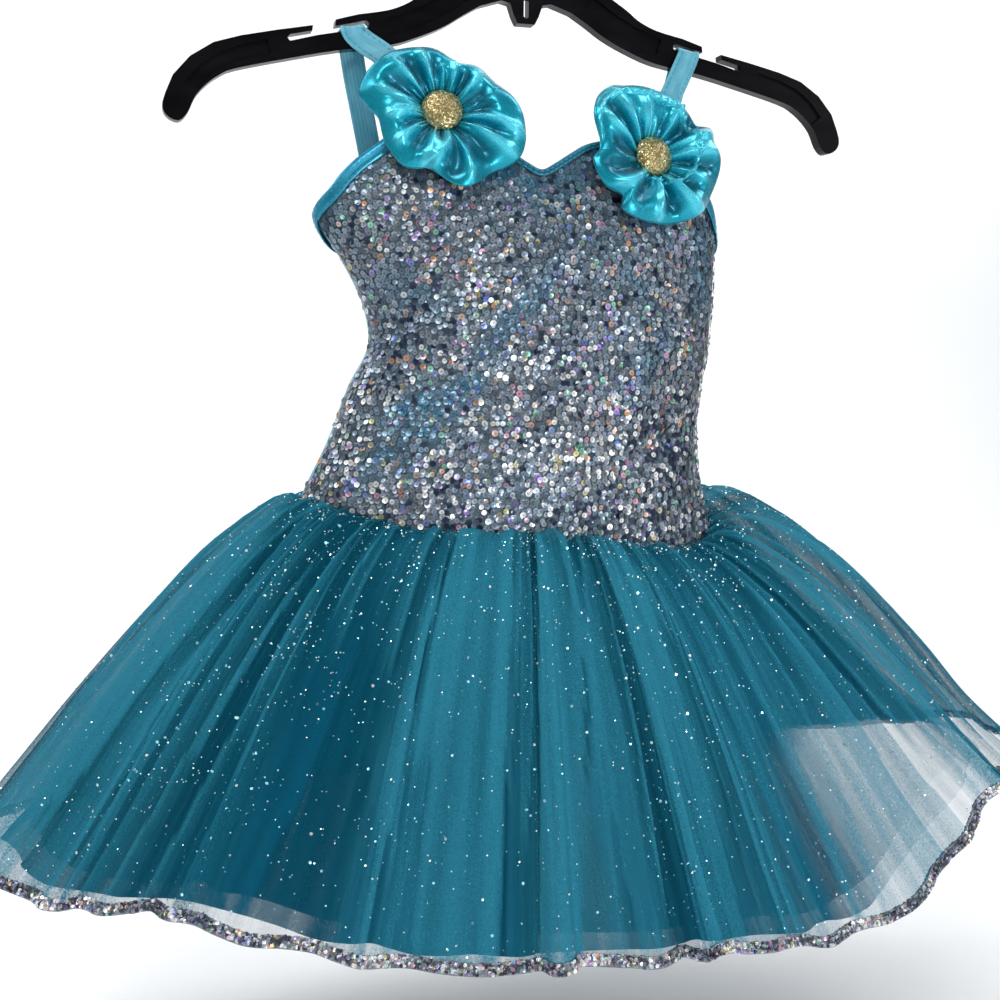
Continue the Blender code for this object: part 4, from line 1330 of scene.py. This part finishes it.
def front_columns():
    """Fine columns of the bodice's front."""
    share = math.degrees(SEAM_GAP / SEAM_RADIUS)
    places = []
    for x, z in FRONT_TOP:
        angle = min(max(front_angle(x, z), LEFT_SEAM + share), RIGHT_SEAM - share)
        places.append(Vector((angle, z)))
    places[0].x, places[-1].x = LEFT_SEAM + share, RIGHT_SEAM - share
    return fine_columns(places, 4)


def back_columns():
    """Fine columns of the bodice's back."""
    share = math.degrees(SEAM_GAP / SEAM_RADIUS)
    low, high = RIGHT_SEAM - 360 + share, LEFT_SEAM - share
    places = [Vector((min(max(angle, low), high), z)) for angle, z in reversed(BACK_TOP)]
    return fine_columns(places, 5)


def panel_grid(sections, columns, row_count, creases=()):
    """Grid of a panel between its top edge and its lower one."""
    return [[surface_point(sections, top + (bottom - top) * row / row_count, angle, creases)
             for angle, top, bottom in columns] for row in range(row_count + 1)]


def add_panel(name, rows, material, slot, node):
    """Cloth panel, given its cloth thickness."""
    obj = add_piece(name, grid_mesh(name, rows), material, slot, node)
    thicken(obj, PANEL_CLOTH, 1.0)


def top_height(columns, angle):
    """Height of a panel's top edge at an angle."""
    for (a, top, _), (b, other, _) in zip(columns, columns[1:]):
        if a <= angle <= b and b > a:
            return top + (other - top) * (angle - a) / (b - a)
    return columns[0][1] if angle < columns[0][0] else columns[-1][1]


def make_sequins(columns):
    """Sequins sewn close together over the bodice's front."""
    rng = random.Random(3)
    # Disc rims are painted darker as painted shade; the dark eye is the hole with its thread
    field = DiscField(((1.0, 0.05, 0.7), (0.62, 0.0, 1.0)), (-0.03, 0.35), 9)
    patches = make_waves(19, 6, 2, 7)
    clusters = make_waves(23, 9, 6, 22)
    z, row = SEQUINS_TOP, 0
    while z > SEQUINS_BOTTOM:
        angle = LEFT_SEAM + LEFT_SEAM_ROOM + (SEQUIN_ROW_SHIFT if row % 2 else 0.0)
        while angle < RIGHT_SEAM - RIGHT_SEAM_ROOM:
            side, depth = section_reach(BODICE_SECTIONS, z, angle)
            turn = math.radians(angle)
            pace = math.hypot(side * math.cos(turn), depth * math.sin(turn))
            below = top_height(columns, angle) - z
            above = z - smooth_value(WAIST_LINE, angle)
            at_neck = NECK_ANGLES[0] < angle < NECK_ANGLES[1]
            edge = NECK_ROOM if at_neck else ARMHOLE_ROOM
            if below > edge and above > WAIST_ROOM:
                place, along, up, outward = surface_frame(BODICE_SECTIONS, z, angle,
                                                          FRONT_CREASES)
                shift = (along * rng.uniform(-SEQUIN_SCATTER, SEQUIN_SCATTER)
                         + up * rng.uniform(-SEQUIN_SCATTER, SEQUIN_SCATTER))
                patch = wave_sum(patches, turn, z / 60)
                shade = shade_share(place.x, z)
                # Mix towards the sea colour: real teal near the top edge and in random patches,
                # painted shade where shade_share is high
                teal_and_shade = max(0.0, 0.7 - below / 34) + shade * 0.8 + 0.2 * max(0.0, patch)
                rainbow = 0.08 + 0.28 * max(0.0, wave_sum(clusters, turn, z / 9))
                # Share of discs painted white as flashes: painted highlights, more of them
                # lower down and fewer where painted shade lies
                painted_flash = 0.03 + 0.12 * max(0.0, min(1.0, (-z - 215) / 90)) * (1 - shade)
                painted_flash += 0.05 * max(0.0, wave_sum(clusters, turn, 4 - z / 14))
                colour = sequin_colour(rng, rainbow, painted_flash * (1 - min(1, teal_and_shade)),
                                       min(0.85, teal_and_shade) * rng.uniform(0.5, 1.15))
                # Some discs are painted dark as painted shade
                if rng.random() < painted_dark_share(place.x, z):
                    colour = PAINTED_DARK_SEQUIN
                centre = place + shift + outward * (SEQUIN_STAND + rng.uniform(-0.25, 0.45))
                lean = 38 if rng.random() < 0.16 else 14
                field.add(centre, tilted(outward, rng, lean),
                          SEQUIN_RADIUS * rng.uniform(0.82, 1.1), colour, rng.uniform(0, 3))
            angle += math.degrees(SEQUIN_PITCH / pace)
        z -= SEQUIN_PITCH * SEQUIN_ROW_SHARE
        row += 1
    return field.build("bodice_sequins", SEQUIN_LOOK, "sequin_cloth", "bodice_front")


def painted_dark_share(x, z):
    """Share of the discs painted dark, as painted shade, at a place of the front."""
    return max(0.05, max(most * (1 - math.dist((x, z), (cx, cz)) / radius)
                         for cx, cz, radius, most in PAINTED_DARK_PATCHES))


def shade_share(x, z):
    """How far a place of the front lies in the shade of a crease or a rosette."""
    total = 0.0
    for *ends, half_width, depth in FRONT_SHADES:
        along, across, length = line_place(x, z, *ends)
        if 0 < along < length and abs(across) < half_width:
            fade = math.sin(math.pi * along / length) ** 0.5
            total += depth * fade * (1 - (across / half_width) ** 2)
    return min(1.0, total)


def edge_frames(columns, creases):
    """Places of a top edge, with directions into the cloth and outward."""
    frames = []
    middle_angle = columns[len(columns) // 2][0]
    inside = surface_point(BODICE_SECTIONS, MIDDLE_HEIGHT, 0.8 * middle_angle, creases)
    for index, (angle, top, _) in enumerate(columns):
        before, after = neighbours(columns, index)
        place, _, _, outward = surface_frame(BODICE_SECTIONS, top, angle, creases)
        start = surface_point(BODICE_SECTIONS, before[1], before[0], creases)
        end = surface_point(BODICE_SECTIONS, after[1], after[0], creases)
        along = (end - start).normalized()
        down = outward.cross(along).normalized()
        if down.dot(inside - place) < 0:
            down = -down
        frames.append((place, down, outward))
    return frames


def add_binding(name, columns, width, creases):
    """Tape folded over an edge, with two lines of stitches."""
    frames = edge_frames(columns, creases)
    profile = ((width * 0.8, -0.25), (0.4, -0.45), (-0.35, -0.15), (-0.6, 0.7), (-0.4, 1.5),
               (0.15, 2.0), (width * 0.35, 2.2), (width * 0.6, 2.0), (width - 0.2, 2.1),
               (width, 1.6))
    rows = [[place + down * drop + outward * out for place, down, outward in frames]
            for drop, out in profile]
    mesh = grid_mesh(name + "_tape", rows)
    # The neck binding takes the darker copy, which is painted shade
    look = SHADED_NECK_BINDING_LOOK if name == "neck_binding" else BINDING_LOOK
    tape = add_piece(name + "_tape", mesh, look, "satin", name)
    thicken(tape, BINDING_CLOTH, 0.0)
    stitches = add_stitches(name + "_stitches", frames, (width * 0.3, width * 0.8), 2.25,
                            "satin")


def make_bodice():
    """Sequinned front, plain back and their bindings."""
    front, back = front_columns(), back_columns()
    sequins = make_sequins(front)
    panels = (("bodice_cloth", front, 44, FRONT_CREASES, BASE_LOOK, "sequin_cloth",
               "bodice_front", [sequins]),
              ("bodice_back_cloth", back, 36, BACK_CREASES, SPANDEX_LOOK, "spandex",
               "bodice_back", []))
    for name, columns, row_count, creases, look, slot, node, pieces in panels:
        lowered = [(angle, top, bottom + SEAM_GAP) for angle, top, bottom in columns]
        rows = panel_grid(BODICE_SECTIONS, lowered, row_count, creases)
        add_panel(name, rows, look, slot, node)
    # Fine columns at the outer corners of the two strap tabs
    first_tab, second_tab = 7 * 4, 23 * 4
    for name, columns, width in (
            ("armhole_binding_l", front[:first_tab + 1], ARMHOLE_BINDING_WIDTH),
            ("neck_binding", front[first_tab + 8:second_tab - 7], NECK_BINDING_WIDTH),
            ("armhole_binding_r", front[second_tab:], ARMHOLE_BINDING_WIDTH)):
        add_binding(name, columns, width, FRONT_CREASES)
    add_binding("back_binding", back, BACK_BINDING_WIDTH, BACK_CREASES)


def make_brief():
    """Brief under the skirt."""
    for name, sign in (("brief_front", 1), ("brief_back", -1)):
        seam = 90 - math.degrees(SEAM_GAP / SEAM_RADIUS)
        places = refine([Vector(place) for place in LEG_LINE], 4)
        columns = []
        for place in places:
            turn = place.x * seam
            angle = wrap_angle(turn if sign > 0 else 180 + turn)
            waist = smooth_value(WAIST_LINE, angle) - BRIEF_DROP
            columns.append((angle, waist, place.y))
        add_panel(name + "_cloth", panel_grid(BRIEF_SECTIONS, columns, 20), SPANDEX_LOOK,
                  "spandex", name)


# Straps

def make_strap(name, stations):
    """Flat strap with rounded edges and a line of stitches along each side."""
    fine = refine([Vector((*row[:3], row[3])) for row in stations], 5)
    centres = [Vector(row[:3]) for row in fine]
    half, thick = STRAP_WIDTH / 2, STRAP_THICKNESS / 2
    ring = ((-half, 0.0), (-half + 0.25, thick * 0.8), (-half + 0.9, thick),
            (-half * 0.5, thick * 0.92), (0, thick), (half * 0.5, thick * 0.92),
            (half - 0.9, thick), (half - 0.25, thick * 0.8), (half, 0.0),
            (half - 0.25, -thick * 0.8), (half - 0.9, -thick), (0, -thick),
            (-half + 0.9, -thick), (-half + 0.25, -thick * 0.8))
    rows, frames, lengths = [], [], [0.0]
    for index, centre in enumerate(centres):
        before, after = neighbours(centres, index)
        along = (after - before).normalized()
        turn = math.radians(fine[index][3])
        across = Vector((math.cos(turn), 0, math.sin(turn)))
        across = (across - along * across.dot(along)).normalized()
        outward = across.cross(along).normalized()
        if outward.dot(Vector((0, centre.y, centre.z + 103))) < 0 and abs(centre.y) > 3:
            outward = -outward
        frames.append((centre, across, outward))
        rows.append([centre + across * side + outward * rise for side, rise in ring])
        lengths.append(lengths[-1] + (after - centre).length)
    mesh = grid_mesh(name, rows, closed=True,
                     uvs=lambda column, row: (column * 1.8, lengths[row]))
    strap = add_piece(name + "_ribbon", mesh, STRAP_LOOK, "strap_satin", name)
    stitches = add_stitches(name + "_stitches", frames, (-half * 0.68, half * 0.68),
                            thick + 0.02, "strap_satin")


# Rosettes and buttons

def crease_sum(creases, angle, share, reach):
    """Rise of a rosette's creases at a place: sharp along the ridges, soft in valleys."""
    total = 0.0
    for inner, outer, extent, rise, half_width in creases:
        if share >= extent:
            continue
        line = inner + (outer - inner) * share
        away = (angle - line + 180) % 360 - 180
        distance = abs(math.radians(away)) * reach / (half_width * (0.45 + 0.75 * share))
        if distance > 3:
            continue
        fade = min(1.0, (extent - share) / 0.25) * (0.45 + 0.55 * min(1.0, share * 3))
        if rise > 0:
            total += rise * fade * math.exp(-distance * (0.6 + 0.4 * min(distance, 1.0)))
        else:
            total += rise * fade * math.exp(-distance ** 2)
    return total


def rosette_rows(x, z, rim, creases, waves, seed):
    """Grid of a gathered satin rosette, from under its button out and round the rim."""
    seat, right, up, outward = seat_frame(x, z)
    pleats = make_waves(seed, 7, 24, 44)
    rows, crest_paint = [], []
    turned = ((0.985, -1.2), (0.93, -2.2), (0.80, -2.8))
    steps = [(ring / ROSETTE_RINGS, 0.0) for ring in range(ROSETTE_RINGS + 1)] + list(turned)
    for share, drop in steps:
        line = []
        form = 1.0 if drop else share
        lift = smooth_value(ROSETTE_FORM, form, 1)
        ruffle = smooth_value(ROSETTE_FORM, form, 2)
        near = math.exp(-((share - 0.10) / 0.16) ** 2)
        for column in range(ROSETTE_COLUMNS):
            angle = 360 * column / ROSETTE_COLUMNS - 180
            turn = math.radians(angle)
            reach = ROSETTE_EYE + (smooth_value(rim, angle) - ROSETTE_EYE) * share
            pleat = near * wave_sum(pleats, turn, share * 1.5)
            crease = crease_sum(creases, angle, form, reach)
            # Crest value for painted highlights on ridges and painted shade in valleys and
            # between pleats
            crest_paint.append(min(1.0, max(0.0, 0.42 + 0.16 * crease + 0.22 * pleat)))
            height = lift + 0.7 * pleat + 1.25 * ruffle * crease
            height += form ** 2 * sum(rise * math.sin(times * turn + math.radians(phase))
                                      for times, phase, rise in waves)
            line.append(around(seat, right, up, turn, reach)
                        + outward * (max(height, 0.2) + drop))
        rows.append(line)
    return rows, crest_paint


def make_rosette(name, button_name, x, z, rim, creases, waves, seed):
    """Gathered satin rosette with a glitter button at its centre."""
    rows, crest_paint = rosette_rows(x, z, rim, creases, waves, seed)
    mesh = grid_mesh(name + "_satin", rows, closed=True)
    add_number(mesh, "painted_crest_light", crest_paint)
    rosette = add_piece(name + "_satin", mesh, SATIN_LOOK, "satin", name)
    thicken(rosette, SATIN_CLOTH, -1.0)
    seat, right, up, outward = seat_frame(x, z)
    button = make_button(button_name, seat + outward * 1.3, right, up, outward, seed)


def make_button(name, back, right, up, outward, seed):
    """Domed button covered with coarse gold glitter."""
    rng = random.Random(seed)
    rings, sides = 22, 72
    points, colours = [], []
    for ring in range(rings + 1):
        turn = math.pi / 2 * ring / rings
        for side in range(sides):
            spin = 2 * math.pi * (side + 0.5 * (ring % 2)) / sides
            rough = 1 + rng.uniform(-0.022, 0.022) if 0 < ring < rings else 1.0
            reach = BUTTON_RADIUS * math.sin(turn) * rough
            height = 1.0 + (BUTTON_HEIGHT - 1.0) * math.cos(turn) * rough
            points.append((around(back, right, up, spin, reach) + outward * height) * MM)
            colours.append((*rng.choice(GOLD_COLOURS), 1.0))
    for side in range(sides):
        spin = 2 * math.pi * side / sides
        points.append(around(back, right, up, spin, BUTTON_RADIUS - 0.8) * MM)
        colours.append((*GOLD_EDGE, 1.0))
    faces = grid_faces(rings + 2, sides, closed=True)
    mesh = new_mesh(name + "_dome", points, faces, colours, smooth=False)
    return add_piece(name + "_dome", mesh, GOLD_LOOK, "gold_glitter", name)


# Hanger

def flat_solid(name, outline, thickness, middle):
    """Filled outline in the X-Z plane, given a thickness about its middle."""
    curve = bpy.data.curves.new(name, "CURVE")
    curve.dimensions = "2D"
    curve.fill_mode = "BOTH"
    curve.extrude = thickness / 2 * MM
    spline = curve.splines.new("POLY")
    spline.points.add(len(outline) - 1)
    for point, (x, z) in zip(spline.points, outline):
        point.co = (x * MM, z * MM, 0, 1)
    spline.use_cyclic_u = True
    shape = new_object(name, curve)
    shape.matrix_world = (Matrix.Translation((0, middle * MM, 0))
                          @ Matrix.Rotation(math.pi / 2, 4, "X"))
    mesh = evaluated_mesh(shape)
    mesh.transform(shape.matrix_world)
    bpy.data.objects.remove(shape, do_unlink=True)
    bpy.data.curves.remove(curve)
    mesh.materials.clear()
    obj = new_object(name, mesh)
    weld = obj.modifiers.new("weld", "WELD")
    weld.merge_threshold = 1e-5
    return obj


def band_outline(centre, half):
    """Outline of a band of even height along a centre line."""
    upper, lower = [], []
    for index, (x, z) in enumerate(centre):
        before, after = neighbours(centre, index)
        run, rise = after[0] - before[0], after[1] - before[1]
        length = math.hypot(run, rise)
        upper.append((x - half * rise / length, z + half * run / length))
        lower.append((x + half * rise / length, z - half * run / length))
    return upper + list(reversed(lower))


def make_hanger():
    """Glossy moulded hanger with sunk arms and rounded edges."""
    notches = list(HANGER_HALF[HANGER_TOP_END:HANGER_TIP_END])
    edge = [Vector(point) for point in HANGER_HALF]
    arch_end = len(edge) - 4
    upper = refine(edge[:HANGER_TOP_END], 3)
    lower = refine(edge[HANGER_TIP_END:arch_end], 3)
    half_outline = ([tuple(point) for point in upper] + notches
                    + [tuple(point) for point in lower] + list(HANGER_HALF[arch_end:]))
    outline = half_outline + [(-x, z) for x, z in reversed(half_outline)]
    body = flat_solid("hanger_body", outline, HANGER_THICK, 0)
    half, (low, high) = TAB_SLOT_WIDTH / 2, TAB_SLOT_HEIGHTS
    slot = [(-half, low + 1), (0, low), (half, low + 1), (half, high), (-half, high)]
    cutters = [flat_solid("tab_slot", slot, 2 * HANGER_THICK, 0)]
    for centre, half in ARM_RECESSES:
        band = band_outline(centre, half)
        for side_outline in (band, [(-x, z) for x, z in band]):
            for face in (-1, 1):
                cutters.append(flat_solid("recess", side_outline, 2 * RECESS_DEPTH,
                                          face * HANGER_THICK / 2))
    for cutter in cutters:
        boolean = body.modifiers.new("recess", "BOOLEAN")
        boolean.operation = "DIFFERENCE"
        boolean.object = cutter
    bevel = body.modifiers.new("edges", "BEVEL")
    bevel.width = EDGE_ROUND * MM
    bevel.segments = 3
    bevel.limit_method = "ANGLE"
    bevel.angle_limit = math.radians(50)
    mesh = evaluated_mesh(body)
    for obj in (*cutters, body):
        bpy.data.objects.remove(obj, do_unlink=True)
    mesh.shade_smooth()
    mesh.materials.clear()
    hanger = add_piece("hanger_moulding", mesh, PLASTIC_LOOK, "black_plastic", "hanger")
    smooth = hanger.modifiers.new("shading", "WEIGHTED_NORMAL")
    smooth.keep_sharp = True


def make_hook():
    """Steel wire hook whose stem stands in the hanger."""
    radius = HOOK_INSIDE + HOOK_WIRE
    points = [Vector((0, 0, HOOK_STEM_END)), Vector((0, 0, -56)), Vector((0, 0, -50)),
              Vector((1.6, 0, -45.5)), Vector((6, 0, -41.8)), Vector((11.4, 0, -38.4))]
    first, last, steps = -50, 205, 20
    for step in range(steps + 1):
        turn = math.radians(first + (last - first) * step / steps)
        points.append(Vector((radius * math.cos(turn), 0,
                              -HOOK_INSIDE + radius * math.sin(turn))))
    fine = refine(points, 5)
    sides = 16
    rows = []
    for index, point in enumerate(fine):
        before, after = neighbours(fine, index)
        along = (after - before).normalized()
        across = Vector((0, 1, 0))
        beside = along.cross(across).normalized()
        past = index - len(fine) + len(HOOK_TIP)
        wire = HOOK_WIRE * (HOOK_TIP[past] if past >= 0 else 1.0)
        rows.append([around(point, across, beside, 2 * math.pi * side / sides, wire)
                     for side in range(sides)])
    add_piece("hook_wire", grid_mesh("hook_wire", rows, closed=True), STEEL_LOOK,
              "steel_wire", "hook")


make_stage()
make_bodice()
make_brief()
make_skirt()
make_strap("strap_l", LEFT_STRAP)
make_strap("strap_r", RIGHT_STRAP)
make_rosette("rosette_l", "button_l", -47, -140, LEFT_ROSETTE_RIM, LEFT_ROSETTE_CREASES,
             LEFT_ROSETTE_WAVES, 5)
make_rosette("rosette_r", "button_r", 61, -157, RIGHT_ROSETTE_RIM, RIGHT_ROSETTE_CREASES,
             RIGHT_ROSETTE_WAVES, 9)
make_hanger()
make_hook()
